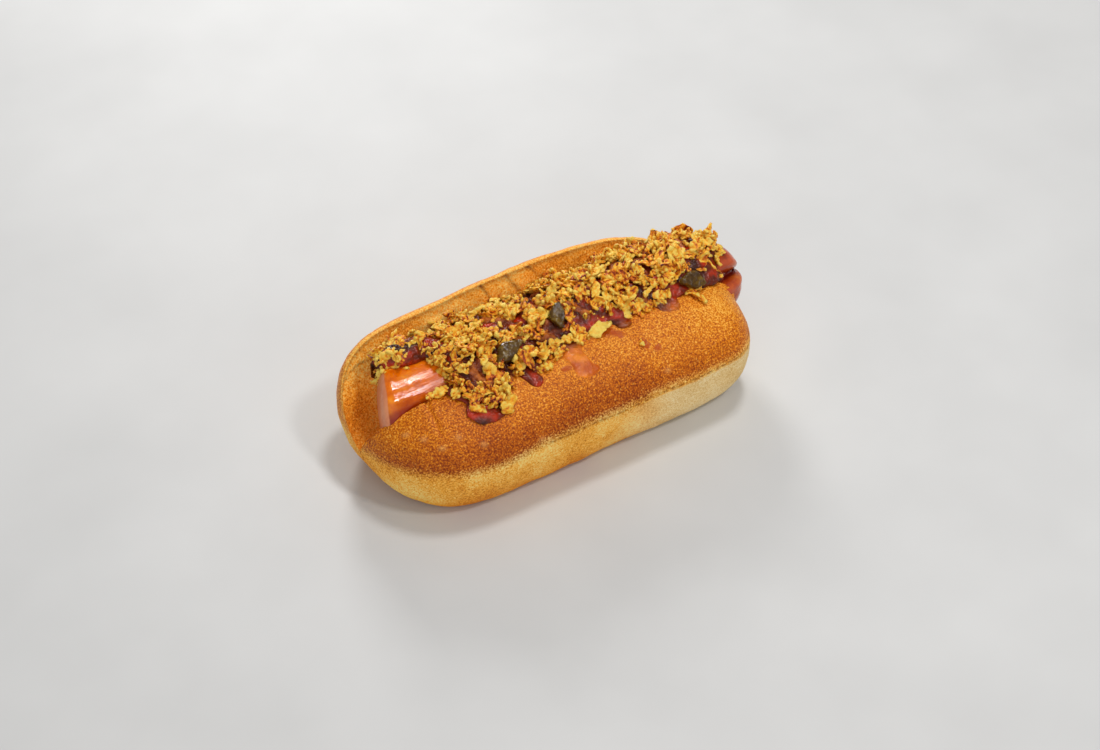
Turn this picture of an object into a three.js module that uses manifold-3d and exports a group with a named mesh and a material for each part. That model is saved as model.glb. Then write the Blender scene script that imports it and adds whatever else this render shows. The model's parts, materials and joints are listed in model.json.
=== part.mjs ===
// A hot dog: a soft roll cut open along its top, a sausage laid in the cut, a bed of red sauce with
// pieces of pickle in it, and a heap of crisp fried onion over it all.
// Millimetres, +Z up. X runs along the roll and -Y is the roll's low, bulging half. The pieces are
// drawn about the middle of the roll's base, then moved so that the whole box is centred on the origin.
import * as THREE from "three";
import { mergeVertices } from "three/addons/utils/BufferGeometryUtils.js";
import Module from "manifold-3d";

const GAP = 0.3; // air between pieces that touch

// The roll is split from the top and opened like a book, hinged along its base.
const ROLL = {
  left: -70.5,
  right: 77,
  leftLean: 0.12, // how much further left the back half's end reaches, for each mm back
  nose: { y: 2, z: 17 }, // where the cut runs out at the two ends
  frontLip: { y: -6, z: 40 }, // the edges between crust and cut, half way along
  backLip: { y: 27, z: 45.5 },
  frontSide: { y: -33, z: 21 }, // the widest lines
  backSide: { y: 35, z: 24 },
  frontFoot: -25, // the flat base reaches from here
  backFoot: 26, // to here
  cutFloor: { y: 3, z: 14.4 }, // the bottom of the cut, under the sausage
  soleCut: 0.5, // its round underside is flattened by this much where it lies
  rimDip: { x: -34, width: 15, depth: 2 }, // a sag in the back half's rim
  lastShare: 0.9997, // the first and last rings stop just short of the two tips
  rings: 30,
  steps: { crust: 7, wall: 4, base: 3, cutShare: 0.42 },
};

// How far each line of the roll stays full towards its ends: squareness, then roundness.
const ENDS = {
  frontLipY: { left: [6, 2], right: [12, 2] },
  frontLipZ: { left: [4.8, 2.2], right: [9, 2] },
  frontSide: { left: [5, 1.8], right: [11, 2.2] },
  foot: { left: [4.6, 1.4], right: [10, 1.8] },
  footZ: { left: [6.5, 1.9], right: [10, 1.8] },
  backLipY: { left: [10, 2], right: [8, 2] },
  backLipZ: { left: [5.5, 1.6], right: [3, 1.5] },
  backSide: { left: [9, 2], right: [8, 2] },
  cutFloor: { left: [8, 2], right: [10, 2] },
};

const SAUSAGE = {
  radius: 13.7,
  left: { x: -61.2, y: 6, z: 28.6, cap: 6 }, // the tips of its two ends, and how long each cap is
  right: { x: 83, y: 4, z: 28, cap: 12.5 },
  bow: 2, // its middle hangs this much lower than its ends
  capSquareness: 2.4,
  // Its left end was cut at a slant: the front reaches further left, for each mm from the axis.
  slant: { share: 0.43, length: 20 },
  sides: 20,
  rings: 9,
  capRings: 5,
};
// A lengthwise slash in its right end, on the side at this angle above level. It opens from a first
// share of its depth and width to a last one, and reaches a little past the skin.
const SLASH = { from: 66, to: 88, angle: 40, depth: 6, width: 3, opening: [0.2, 0.9, 1.2], past: 2 };

// The sauce lies over the sausage from one cut face to the front half's crust.
const SAUCE = {
  left: -57,
  right: 77,
  backY: 20,
  backZ: 37,
  ridgeZ: 45.6,
  frontY: -8.5, // past the front lip, but at the left it draws back over the sausage to leftY
  leftY: 8,
  leftDrop: 3, // how much lower than the ridge its front edge is there
  drawBack: { x: -37, width: 10 },
  lip: { s: 0.1, lift: 1.3 }, // elsewhere that edge is this far round the crust, and this much over it
  waves: { front: 1.2, back: 0.8, top: 0.5 },
  endSquareness: 12,
  rings: 26,
  steps: 7,
  underSteps: 4,
  bottomZ: 31,
  edgeZ: 41, // where its two ends run out
};
// Tongues of it that ran down the crust: where along the roll, how far round the crust from the lip
// (0) to the widest line (1), how wide and how thick.
const TONGUES = [
  { x: -33, reach: 0.5, width: 17, thick: 1.4 },
  { x: -14, reach: 0.36, width: 9, thick: 1.6 },
  { x: 4, reach: 0.47, width: 11, thick: 1.3 },
  { x: 26, reach: 0.16, width: 8, thick: 1.3 },
  { x: 44, reach: 0.2, width: 9, thick: 1.3 },
];
const TONGUE = {
  rings: 7,
  sides: 10,
  neck: 0.8, // how wide it still is where its round tip begins
  tip: 0.75, // the share of its length before the tip
  blunt: 0.02,
  drift: 1.5, // how far its tip has wandered to the right
};

// Chunks of pickle that show among the onion: where along the heap, how far over it from its back edge
// (0) to its front one (1), and which way they point.
const PICKLES = [
  { name: "pickle_left", x: -17, across: 0.84, yaw: 0.3, size: 1 },
  { name: "pickle_middle", x: 6, across: 0.74, yaw: 1.2, size: 0.85 },
  { name: "pickle_right", x: 57, across: 0.97, yaw: -0.2, size: 1 },
];
const PICKLE = {
  length: 11,
  width: 8,
  thick: 3,
  cutShare: 0.45, // the width left on the straight side that a knife made
  scallop: 0.1,
  lift: 1,
  sides: 12,
  // its rounded edge: how high in its thickness, and how wide it is there
  layers: [
    [0.5, 0.82],
    [0.2, 1],
    [-0.2, 1],
    [-0.5, 0.8],
  ],
};

// The heap of onion: a plain ridge with bent flakes fused into it.
const HEAP = {
  left: -58,
  right: 76,
  backY: 21,
  backZ: 40,
  ridgeZ: { left: 46.8, right: 48.2 },
  frontY: -13, // over the front crust, but drawn back at the left and in the right half
  leftY: 11,
  leftDrop: 2, // how much lower than the ridge its front edge is there
  rightY: -7.5,
  drawBack: { x: -37, width: 8 },
  drawIn: { x: 6, width: 20 },
  lobe: { x: -30, width: 9, reach: 7.5, round: 0.15 }, // where it slid furthest down and round the front
  lip: { s: 0.25, lift: 2.5 }, // elsewhere the edge is this far round the crust, and this much over it
  waves: { front: 1.5, back: 1.2, top: 0.8 },
  fullness: 0.8, // under 1 makes the ridge broader
  endSquareness: 6,
  rings: 22,
  steps: 6,
  underSteps: 4,
  bottomZ: 34,
  edgeZ: 42, // where its two ends run out
};
const FLAKES = {
  count: 118,
  seed: 11,
  length: [5, 10],
  width: [2, 3.6],
  thick: 1.1,
  curl: [-0.7, 1.54],
  ends: [0.4, 1], // how wide an end is, as a share of the middle
  tilt: 0.65, // radians, to either side
  lift: [0.2, 1.6],
  fromPickle: 5.5, // none lies closer to the middle of a chunk of pickle
};

const wasm = await Module();
wasm.setup();

const mix = (a, b, s) => a + (b - a) * s;
const smooth = (v) => {
  const s = Math.min(1, Math.max(0, v));
  return s * s * (3 - 2 * s);
};

// Numbers from 0 to 1 that are the same at each run.
function seededRandom(seed) {
  let state = seed;
  return () => {
    state = (state * 1664525 + 1013904223) % 4294967296;
    return state / 4294967296;
  };
}

// The share of its full section that a long bed or heap keeps, at a share s of its length.
const endFullness = (s, square) => Math.sqrt(1 - Math.abs(2 * s - 1) ** square) + 0.02;

// A slow unevenness between -1 and 1.
const sway = (a, b = 0) => (Math.sin(a * 1.7 + b) + Math.sin(a * 2.9 + b * 2.3 + 1.3)) / 2;

function solidOf(geometry) {
  const bare = geometry.clone();
  bare.deleteAttribute("normal");
  bare.deleteAttribute("uv");
  const merged = mergeVertices(bare, 1e-4);
  const vertProperties = merged.attributes.position.array;
  const triVerts = new Uint32Array(merged.index.array);
  return new wasm.Manifold(new wasm.Mesh({ numProp: 3, vertProperties, triVerts }));
}

function geometryOf(solid) {
  const mesh = solid.getMesh();
  const geometry = new THREE.BufferGeometry();
  const position = new Float32Array(mesh.numVert * 3);
  for (let i = 0; i < mesh.numVert; i++)
    for (let k = 0; k < 3; k++) position[3 * i + k] = mesh.vertProperties[mesh.numProp * i + k];
  geometry.setAttribute("position", new THREE.BufferAttribute(position, 3));
  geometry.setIndex(new THREE.BufferAttribute(mesh.triVerts, 1));
  return geometry;
}

// The same skin moved out by a distance, to cut a neighbour clear of it.
function grown(geometry, by) {
  const bare = geometry.clone();
  bare.deleteAttribute("normal");
  bare.deleteAttribute("uv");
  const skin = mergeVertices(bare, 1e-4);
  skin.computeVertexNormals();
  const at = skin.attributes.position;
  const out = skin.attributes.normal;
  const point = new THREE.Vector3();
  const normal = new THREE.Vector3();
  for (let i = 0; i < at.count; i++) {
    point.fromBufferAttribute(at, i).addScaledVector(normal.fromBufferAttribute(out, i), by);
    at.setXYZ(i, ...point);
  }
  return solidOf(skin);
}

// A cut can leave crumbs: only the largest body stays.
function largestBody(solid) {
  return solid.decompose().reduce((best, body) => (body.volume() > best.volume() ? body : best));
}

// One closed skin through rings of equal length, each a loop of [x, y, z], with flat fans at the ends.
function skinOf(rings) {
  const size = rings[0].length;
  const position = rings.flat(2);
  const index = [];
  for (let j = 0; j < rings.length - 1; j++)
    for (let k = 0; k < size; k++) {
      const a = j * size + k;
      const b = j * size + ((k + 1) % size);
      index.push(a, a + size, b, b, a + size, b + size);
    }
  const fan = (ring, first, flip) => {
    const centre = [0, 1, 2].map((axis) => ring.reduce((sum, p) => sum + p[axis] / size, 0));
    const c = position.length / 3;
    position.push(...centre);
    for (let k = 0; k < size; k++) {
      const a = first + k;
      const b = first + ((k + 1) % size);
      index.push(c, ...(flip ? [b, a] : [a, b]));
    }
  };
  fan(rings[0], 0, false);
  fan(rings.at(-1), (rings.length - 1) * size, true);
  const geometry = new THREE.BufferGeometry();
  geometry.setAttribute("position", new THREE.Float32BufferAttribute(position, 3));
  geometry.setIndex(index);
  return geometry;
}

// The roll. At t, from -1 at its left end to 1 at its right, a line of it is full in the middle of the
// roll and falls to the nose at an end.
function fullness(t, { left, right }) {
  const [square, round] = t < 0 ? left : right;
  return (1 - Math.abs(t) ** square) ** (1 / round);
}

const rollX = (t, y) => (t < 0 ? -ROLL.left * t - ROLL.leftLean * y * t ** 4 : ROLL.right * t);
const rollT = (x) => (x < 0 ? -x / ROLL.left : x / ROLL.right);

// A cubic curve in the plane of a section, from a corner to the next: each handle is given by how far
// it has gone across and up between the two.
function bend(from, to, [y1, z1], [y2, z2]) {
  const handle = (sy, sz) => [mix(from[0], to[0], sy), mix(from[1], to[1], sz)];
  const b = handle(y1, z1);
  const c = handle(y2, z2);
  return (s) => {
    const r = 1 - s;
    return [0, 1].map(
      (i) => r ** 3 * from[i] + 3 * r * r * s * b[i] + 3 * r * s * s * c[i] + s ** 3 * to[i],
    );
  };
}

function rollCurves(t) {
  const corner = (y, z, endsY, endsZ = endsY) => [
    mix(ROLL.nose.y * t * t, y, fullness(t, endsY)),
    mix(ROLL.nose.z, z, fullness(t, endsZ)),
  ];
  const x = rollX(t, 0);
  const dip = ROLL.rimDip.depth * Math.exp(-(((x - ROLL.rimDip.x) / ROLL.rimDip.width) ** 2));
  const frontLip = corner(ROLL.frontLip.y, ROLL.frontLip.z, ENDS.frontLipY, ENDS.frontLipZ);
  const frontSide = corner(ROLL.frontSide.y, ROLL.frontSide.z, ENDS.frontSide);
  const flattened = ([y, z]) => [y, Math.max(0, z - ROLL.soleCut)];
  const frontFoot = flattened(corner(ROLL.frontFoot, 0, ENDS.foot, ENDS.footZ));
  const backFoot = flattened(corner(ROLL.backFoot, 0, ENDS.foot, ENDS.footZ));
  const backSide = corner(ROLL.backSide.y, ROLL.backSide.z, ENDS.backSide);
  const backLip = corner(ROLL.backLip.y, ROLL.backLip.z - dip, ENDS.backLipY, ENDS.backLipZ);
  const cutFloor = corner(ROLL.cutFloor.y, ROLL.cutFloor.z, ENDS.cutFloor);
  return {
    frontCrust: bend(frontLip, frontSide, [0.5, 0], [1, 0.42]),
    frontWall: bend(frontSide, frontFoot, [0, 0.6], [0.55, 1]),
    base: bend(frontFoot, backFoot, [0.33, 0.33], [0.67, 0.67]),
    backWall: bend(backFoot, backSide, [0.5, 0], [1, 0.45]),
    backCrust: bend(backSide, backLip, [0, 0.55], [0.45, 1]),
    frontCut: bend(frontLip, cutFloor, [-0.9, 0.3], [-1, 0.85]),
    backCut: bend(cutFloor, backLip, [0.5, 0.02], [0.66, 0.5]),
  };
}

function rollSkin() {
  const { steps } = ROLL;
  const along = (path, n, from = 0) => Array.from({ length: n - from }, (_, i) => path((i + from) / n));
  const outerSteps = 2 * steps.crust + 2 * steps.wall + steps.base;
  const frontCuts = Math.round(outerSteps * steps.cutShare);
  const rings = [];
  for (let j = 0; j <= ROLL.rings; j++) {
    const t = -Math.cos((Math.PI * j) / ROLL.rings) * ROLL.lastShare;
    const c = rollCurves(t);
    const outer = [
      ...along(c.frontCrust, steps.crust),
      ...along(c.frontWall, steps.wall),
      ...along(c.base, steps.base),
      ...along(c.backWall, steps.wall),
      ...along(c.backCrust, steps.crust),
      c.backCrust(1),
    ];
    const cut = [...along(c.frontCut, frontCuts, 1), ...along(c.backCut, outerSteps - frontCuts)];
    rings.push([...cut, ...outer.reverse()].map(([y, z]) => [rollX(t, y), y, z]));
  }
  return skinOf(rings);
}

// A point of the front half's crust, and the way out of the roll there: s is 0 at the lip and 1 at
// the widest line.
function crustPoint(x, s) {
  const path = rollCurves(rollT(x)).frontCrust;
  const step = 0.02;
  const at = path(Math.max(0, s));
  const [y0, z0] = path(Math.max(0, s) - step);
  const [y1, z1] = path(Math.max(0, s) + step);
  const long = Math.hypot(y1 - y0, z1 - z0);
  return { y: at[0], z: at[1], outY: (z1 - z0) / long, outZ: -(y1 - y0) / long };
}

// The sausage: a straight tube with blunt ends, bowed a little, and slashed near its right end.
function sausageAxis(x) {
  const { left, right, bow } = SAUSAGE;
  const s = (x - left.x) / (right.x - left.x);
  return { y: mix(left.y, right.y, s), z: mix(left.z, right.z, s) - bow * (1 - (2 * s - 1) ** 2) };
}

// A cap narrows to its tip: the share of the full radius at a share of the cap's length from the tip.
const capFullness = (s) => {
  const square = SAUSAGE.capSquareness;
  return (1 - Math.max(0, 1 - s) ** square) ** (1 / square);
};

function sausageSkin() {
  const { left, right, radius, slant, sides, rings, capRings } = SAUSAGE;
  const long = right.x - left.x;
  const tipShare = 0.12 / capRings;
  const intoCap = (i) => 1 - Math.cos((Math.PI / 2) * (i / capRings + tipShare));
  const capStations = (cap) => Array.from({ length: capRings }, (_, i) => cap * intoCap(i));
  const stations = [
    ...capStations(left.cap),
    ...Array.from({ length: rings + 1 }, (_, i) => mix(left.cap, long - right.cap, i / rings)),
    ...capStations(right.cap).map((d) => long - d).reverse(),
  ];
  const loops = stations.map((d) => {
    const x = left.x + d;
    const axis = sausageAxis(x);
    const r = radius * Math.min(capFullness(d / left.cap), capFullness((long - d) / right.cap));
    const shear = slant.share * (1 - smooth(d / slant.length));
    return Array.from({ length: sides }, (_, k) => {
      const angle = (2 * Math.PI * k) / sides;
      const aside = -r * Math.cos(angle);
      return [x + shear * aside, axis.y + aside, axis.z + r * Math.sin(angle)];
    });
  });
  return skinOf(loops);
}

// A wedge along the sausage, to cut the slash.
function slashSkin() {
  const { from, to, angle, depth, width, opening, past } = SLASH;
  const rise = THREE.MathUtils.degToRad(angle);
  const loops = opening.map((open, i) => {
    const x = mix(from, to, i / (opening.length - 1));
    const axis = sausageAxis(x);
    const at = (out, aside) => [
      x,
      axis.y - Math.cos(rise) * out + Math.sin(rise) * aside,
      axis.z + Math.sin(rise) * out + Math.cos(rise) * aside,
    ];
    const skin = SAUSAGE.radius;
    return [at(skin - depth * open, 0), at(skin + past, -width * open), at(skin + past, width * open)];
  });
  return skinOf(loops);
}

// The sauce bed, before the roll and the sausage are cut out of it.
function sauceSkin() {
  const { waves, lip } = SAUCE;
  const rings = [];
  for (let j = 0; j <= SAUCE.rings; j++) {
    const s = j / SAUCE.rings;
    const x = mix(SAUCE.left, SAUCE.right, s);
    const end = endFullness(s, SAUCE.endSquareness);
    const drawn = smooth((x - SAUCE.drawBack.x) / SAUCE.drawBack.width + 0.5);
    const front = mix(SAUCE.leftY, SAUCE.frontY, drawn) + waves.front * sway(x / 9);
    const back = SAUCE.backY + waves.back * sway(x / 7, 2);
    const middle = (front + back) / 2;
    const lipZ = crustPoint(x, lip.s).z + lip.lift;
    const frontZ = mix(SAUCE.ridgeZ - SAUCE.leftDrop, lipZ, drawn);
    const arch = SAUCE.ridgeZ - (SAUCE.backZ + lipZ) / 2;
    const loop = [];
    for (let i = 0; i <= SAUCE.steps; i++) {
      const across = i / SAUCE.steps;
      const y = mix(middle, mix(back, front, across), end);
      const top = mix(SAUCE.backZ, frontZ, across) + arch * Math.sin(Math.PI * across);
      loop.push([x, y, mix(SAUCE.edgeZ, top + waves.top * sway(x / 4, y / 3), end)]);
    }
    for (let i = 1; i < SAUCE.underSteps; i++)
      loop.push([x, mix(middle, mix(front, back, i / SAUCE.underSteps), end), SAUCE.bottomZ]);
    rings.push(loop.reverse());
  }
  return skinOf(rings);
}

function tongueSkin({ x, reach, width, thick }) {
  const { neck, tip, blunt, drift, sides } = TONGUE;
  const rings = [];
  for (let j = 0; j <= TONGUE.rings; j++) {
    const s = j / TONGUE.rings;
    const spot = crustPoint(x, reach * s);
    const intoTip = Math.max(0, (s - tip) / (1 - tip));
    const swell = mix(1, neck, Math.min(1, s / tip)) * Math.sqrt(Math.max(blunt, 1 - intoTip ** 2));
    const loop = [];
    for (let k = 0; k < sides; k++) {
      const angle = (2 * Math.PI * k) / sides;
      const across = (width / 2) * swell * Math.cos(angle);
      const out = thick * swell * Math.sin(angle);
      loop.push([x + across + drift * s, spot.y + spot.outY * out, spot.z + spot.outZ * out]);
    }
    rings.push(loop.reverse());
  }
  return skinOf(rings);
}

function heapEdges(x) {
  const { drawBack, drawIn, lobe, waves } = HEAP;
  const drawn = smooth((x - drawBack.x) / drawBack.width + 0.5);
  const drawnIn = smooth((x - drawIn.x) / drawIn.width + 0.5);
  const slid = Math.exp(-(((x - lobe.x) / lobe.width) ** 2));
  const open = mix(HEAP.frontY, HEAP.rightY, drawnIn) - lobe.reach * slid;
  const front = mix(HEAP.leftY, open, drawn) + waves.front * sway(x / 6, 1);
  return { front, back: HEAP.backY + waves.back * sway(x / 5, 4), drawn, slid };
}

// A point of the heap's ridge: `across` is 0 at the back edge and 1 at the front one.
function heapPoint(x, across) {
  const s = (x - HEAP.left) / (HEAP.right - HEAP.left);
  const end = endFullness(s, HEAP.endSquareness);
  const { front, back, drawn, slid } = heapEdges(x);
  const middle = (front + back) / 2;
  const ridgeZ = mix(HEAP.ridgeZ.left, HEAP.ridgeZ.right, s);
  const lipZ = crustPoint(x, HEAP.lip.s + HEAP.lobe.round * slid).z + HEAP.lip.lift;
  const frontZ = mix(ridgeZ - HEAP.leftDrop, lipZ, drawn);
  const arch = ridgeZ - (HEAP.backZ + frontZ) / 2;
  const y = mix(middle, mix(back, front, across), end);
  const rise = arch * Math.sin(Math.PI * across) ** HEAP.fullness;
  const z = mix(HEAP.backZ, frontZ, across) + rise + HEAP.waves.top * sway(x / 3, y / 3);
  return new THREE.Vector3(x, y, mix(HEAP.edgeZ, z, end));
}

function heapSkin() {
  const rings = [];
  for (let j = 0; j <= HEAP.rings; j++) {
    const x = mix(HEAP.left, HEAP.right, j / HEAP.rings);
    const loop = [];
    for (let i = 0; i <= HEAP.steps; i++) loop.push(heapPoint(x, i / HEAP.steps).toArray());
    const [first, last] = [loop[0], loop.at(-1)];
    for (let i = 1; i < HEAP.underSteps; i++)
      loop.push([x, mix(last[1], first[1], i / HEAP.underSteps), HEAP.bottomZ]);
    rings.push(loop.reverse());
  }
  return skinOf(rings);
}

// Turns a small piece drawn about the origin to lie on the heap at a place, lifted out of it a little.
function layOnHeap(piece, x, across, lift) {
  const at = heapPoint(x, across);
  const alongX = heapPoint(x + 1, across).sub(at);
  const before = heapPoint(x, Math.min(1, across + 0.05));
  const after = heapPoint(x, Math.max(0, across - 0.05));
  const out = alongX.cross(after.sub(before)).normalize();
  at.addScaledVector(out, lift);
  piece.applyQuaternion(new THREE.Quaternion().setFromUnitVectors(new THREE.Vector3(0, 0, 1), out));
  return piece.translate(at.x, at.y, at.z);
}

// A chunk of pickle: a thick half slice with a scalloped round edge.
function pickleSkin({ x, across, yaw, size }) {
  const rings = [];
  for (const [height, inset] of PICKLE.layers) {
    const loop = [];
    for (let k = 0; k < PICKLE.sides; k++) {
      const angle = (2 * Math.PI * k) / PICKLE.sides;
      const wave = inset * (1 + PICKLE.scallop * Math.cos(angle * 4));
      const cutSide = Math.sin(angle) < 0 ? PICKLE.cutShare : 1;
      loop.push([
        (PICKLE.length / 2) * wave * Math.cos(angle),
        (PICKLE.width / 2) * wave * cutSide * Math.sin(angle),
        PICKLE.thick * height,
      ]);
    }
    rings.push(loop);
  }
  const chunk = skinOf(rings).scale(size, size, size).rotateZ(yaw);
  return layOnHeap(chunk, x, across, PICKLE.lift);
}

// One crisp flake of onion: a strip with uneven ends, curled along its length and a little twisted.
function flakeSkin(random) {
  const long = mix(...FLAKES.length, random() ** 1.5);
  const wide = mix(...FLAKES.width, random());
  const curl = mix(...FLAKES.curl, random());
  const twist = random() - 0.5;
  const geometry = new THREE.BoxGeometry(long, wide, FLAKES.thick, 2, 1, 1);
  const at = geometry.attributes.position;
  const narrow = [mix(...FLAKES.ends, random()), 1, mix(...FLAKES.ends, random())];
  for (let i = 0; i < at.count; i++) {
    const s = at.getX(i) / long + 0.5;
    const y = at.getY(i) * narrow[Math.round(s * 2)];
    const turn = twist * (s - 0.5);
    const z = at.getZ(i) + curl * ((2 * s - 1) ** 2 - 0.4);
    at.setY(i, y * Math.cos(turn) - z * Math.sin(turn));
    at.setZ(i, y * Math.sin(turn) + z * Math.cos(turn));
  }
  return geometry;
}

// The flakes lie on the heap in every direction, each sunk a little into it.
function heapSolid() {
  const random = seededRandom(FLAKES.seed);
  let heap = solidOf(heapSkin());
  for (let n = 0; n < FLAKES.count; n++) {
    const x = mix(HEAP.left + 1, HEAP.right - 1, (n + random()) / FLAKES.count);
    const across = mix(0.02, 0.98, (n * 0.618 + 0.15 * random()) % 1);
    const flake = flakeSkin(random);
    flake.rotateZ(random() * Math.PI * 2).rotateX(mix(-FLAKES.tilt, FLAKES.tilt, random()));
    const lift = mix(...FLAKES.lift, random());
    const place = heapPoint(x, across);
    const clear = (pickle) => heapPoint(pickle.x, pickle.across).distanceTo(place) > FLAKES.fromPickle;
    if (PICKLES.every(clear)) heap = heap.add(solidOf(layOnHeap(flake, x, across, lift)));
  }
  return heap;
}

// The pieces, from the roll outwards: each is cut clear of the ones that it lies on.
const pieces = new THREE.Group();
function addPiece(name, geometry, color, roughness) {
  const material = new THREE.MeshStandardMaterial({ color, roughness, metalness: 0 });
  const mesh = new THREE.Mesh(geometry, material);
  mesh.name = name;
  pieces.add(mesh);
}

const sausage = geometryOf(solidOf(sausageSkin()).subtract(solidOf(slashSkin())));
addPiece("sausage", sausage, 0xb5502a, 0.35);

const roll = rollSkin();
const seat = grown(sausageSkin(), GAP);
addPiece("bun", geometryOf(largestBody(solidOf(roll).subtract(seat))), 0xb9722f, 0.6);

const around = grown(roll, GAP).add(solidOf(roll)).add(grown(sausage, GAP));
let bed = solidOf(sauceSkin());
for (const tongue of TONGUES) bed = bed.add(solidOf(tongueSkin(tongue)));
addPiece("sauce", geometryOf(largestBody(bed.subtract(around))), 0x7c1a0a, 0.2);

let below = around.add(bed).add(grown(geometryOf(bed), GAP));
for (const pickle of PICKLES) {
  const chunk = geometryOf(largestBody(solidOf(pickleSkin(pickle)).subtract(below)));
  addPiece(pickle.name, chunk, 0x3a3010, 0.25);
  below = below.add(grown(chunk, GAP));
}
addPiece("fried_onions", geometryOf(largestBody(heapSolid().subtract(below))), 0xc48a34, 0.75);

// The origin is the middle of the whole box, on the surface that the roll lies on.
const box = new THREE.Box3().setFromObject(pieces);
const middle = box.getCenter(new THREE.Vector3());
pieces.position.set(-middle.x, -middle.y, -box.min.z);

const part = new THREE.Group();
part.add(pieces);
export default part;
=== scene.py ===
# %% [markdown]
# A hot dog in Blender: a soft roll cut open along its top, a glossy sausage, a bed of wet red sauce
# with chunks of pickle, and a heap of crisp fried onion.
# The solids were packed before this script runs. It loads them as a fixed frame and puts a finely
# modelled piece in the place of each one, drawn with the sizes that the solids have. It thinks in
# millimetres, as a cook would measure, and turns them into Blender's metres when a mesh is made.

# %% The frame
import functools
import json
import math

import bmesh
import bpy
import numpy as np
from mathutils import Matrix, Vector

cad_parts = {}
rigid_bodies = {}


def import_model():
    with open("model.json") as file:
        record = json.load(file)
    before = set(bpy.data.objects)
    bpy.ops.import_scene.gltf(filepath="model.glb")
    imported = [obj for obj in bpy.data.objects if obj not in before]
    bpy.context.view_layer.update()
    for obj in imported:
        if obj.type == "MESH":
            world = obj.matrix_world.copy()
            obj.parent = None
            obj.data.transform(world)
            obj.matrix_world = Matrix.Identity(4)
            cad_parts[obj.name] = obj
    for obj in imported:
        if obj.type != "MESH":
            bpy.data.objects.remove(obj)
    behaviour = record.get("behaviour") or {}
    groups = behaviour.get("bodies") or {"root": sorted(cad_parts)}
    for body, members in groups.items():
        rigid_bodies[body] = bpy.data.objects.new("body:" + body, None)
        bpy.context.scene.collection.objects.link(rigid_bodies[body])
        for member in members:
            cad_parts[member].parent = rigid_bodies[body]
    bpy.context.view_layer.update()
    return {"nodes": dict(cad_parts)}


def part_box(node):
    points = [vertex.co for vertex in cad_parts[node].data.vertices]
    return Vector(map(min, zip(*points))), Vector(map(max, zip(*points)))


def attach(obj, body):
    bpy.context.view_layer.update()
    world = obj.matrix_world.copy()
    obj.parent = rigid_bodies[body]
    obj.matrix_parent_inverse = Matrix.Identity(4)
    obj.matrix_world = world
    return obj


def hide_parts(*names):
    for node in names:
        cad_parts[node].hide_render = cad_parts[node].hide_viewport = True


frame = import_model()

MM = 0.001
print("nodes:", sorted(frame["nodes"]))

# %% [markdown]
# The camera looks down on the front half of the roll from its left. Its place is given by the point
# that it aims at, two angles and a distance, so that each can be changed alone. A long lens keeps the
# far end of the roll nearly as large as the near end, as in the photograph.

# %% Camera
ROLL_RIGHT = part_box("bun")[1].x
AIM = Vector((ROLL_RIGHT - 69.6 * MM, 5.8 * MM, 9.6 * MM))
AZIMUTH = math.radians(-31)
ELEVATION = math.radians(45)
DISTANCE = 764 * MM
LENS = 70

away = Vector((
    math.sin(AZIMUTH) * math.cos(ELEVATION),
    -math.cos(AZIMUTH) * math.cos(ELEVATION),
    math.sin(ELEVATION),
))
camera = bpy.data.objects.new("camera", bpy.data.cameras.new("camera"))
bpy.context.scene.collection.objects.link(camera)
camera.data.lens = LENS
camera.data.sensor_width = 36
camera.data.clip_start = 0.01
camera.location = AIM + away * DISTANCE
camera.rotation_euler = away.to_track_quat("Z", "Y").to_euler()
bpy.context.scene.camera = camera
print("camera at", [round(v, 3) for v in camera.location])

# %% [markdown]
# The studio is one pale floor that reaches far past the picture, three small soft lights and a wide
# white card. The light low behind draws the sheen on the crust's shoulder and throws the shadow
# forward. The ones above and in front stand where the sausage's skin mirrors them towards the camera,
# which gives its two long gleams. The card low in front lifts the roll's side, and an even grey world
# fills the shadows.

# %% Floor and lights
floor_mesh = bpy.data.meshes.new("floor")
floor_mesh.from_pydata([(-3, -3, 0), (3, -3, 0), (3, 3, 0), (-3, 3, 0)], [], [(0, 1, 2, 3)])
floor = bpy.data.objects.new("floor", floor_mesh)
bpy.context.scene.collection.objects.link(floor)

LIGHT_DISTANCE = 0.9
WORLD_STRENGTH = 0.34
# For each light: the direction that it stands in, its width in metres and its power in watts.
LIGHTS = dict(
    window_behind=((0.25, 0.84, 0.45), 0.22, 3.6),
    window_above=((0.24, 0.12, 0.94), 0.16, 2.6),
    window_front=((0.25, -0.42, 0.83), 0.12, 1.7),
    white_card=((-0.42, -0.8, 0.42), 1.6, 3.5),
)
for name, (towards, size, power) in LIGHTS.items():
    light = bpy.data.objects.new(name, bpy.data.lights.new(name, "AREA"))
    light.data.shape = "DISK"
    light.data.size = size
    light.data.energy = power
    direction = Vector(towards).normalized()
    light.location = AIM + direction * LIGHT_DISTANCE
    light.rotation_euler = direction.to_track_quat("Z", "Y").to_euler()
    bpy.context.scene.collection.objects.link(light)

world = bpy.data.worlds.new("studio")
world.use_nodes = True
world.node_tree.nodes["Background"].inputs["Color"].default_value = (1, 0.98, 0.96, 1)
world.node_tree.nodes["Background"].inputs["Strength"].default_value = WORLD_STRENGTH
bpy.context.scene.world = world
bpy.context.scene.view_settings.view_transform = "Standard"
print("lights:", list(LIGHTS))

# %% [markdown]
# Uneven food needs unevenness that is the same at each run. This is gradient noise in three
# dimensions: every corner of a lattice gets a random slope from a seeded draw, and a point blends the
# eight around it. It works on whole arrays of points, so a hundred thousand points take a moment.

# %% Noise for shapes
LATTICE = 32


@functools.cache
def lattice_slopes(seed):
    slopes = np.random.default_rng(seed).normal(size=(LATTICE, LATTICE, LATTICE, 3)).astype(np.float32)
    return slopes / np.linalg.norm(slopes, axis=-1, keepdims=True)


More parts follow.
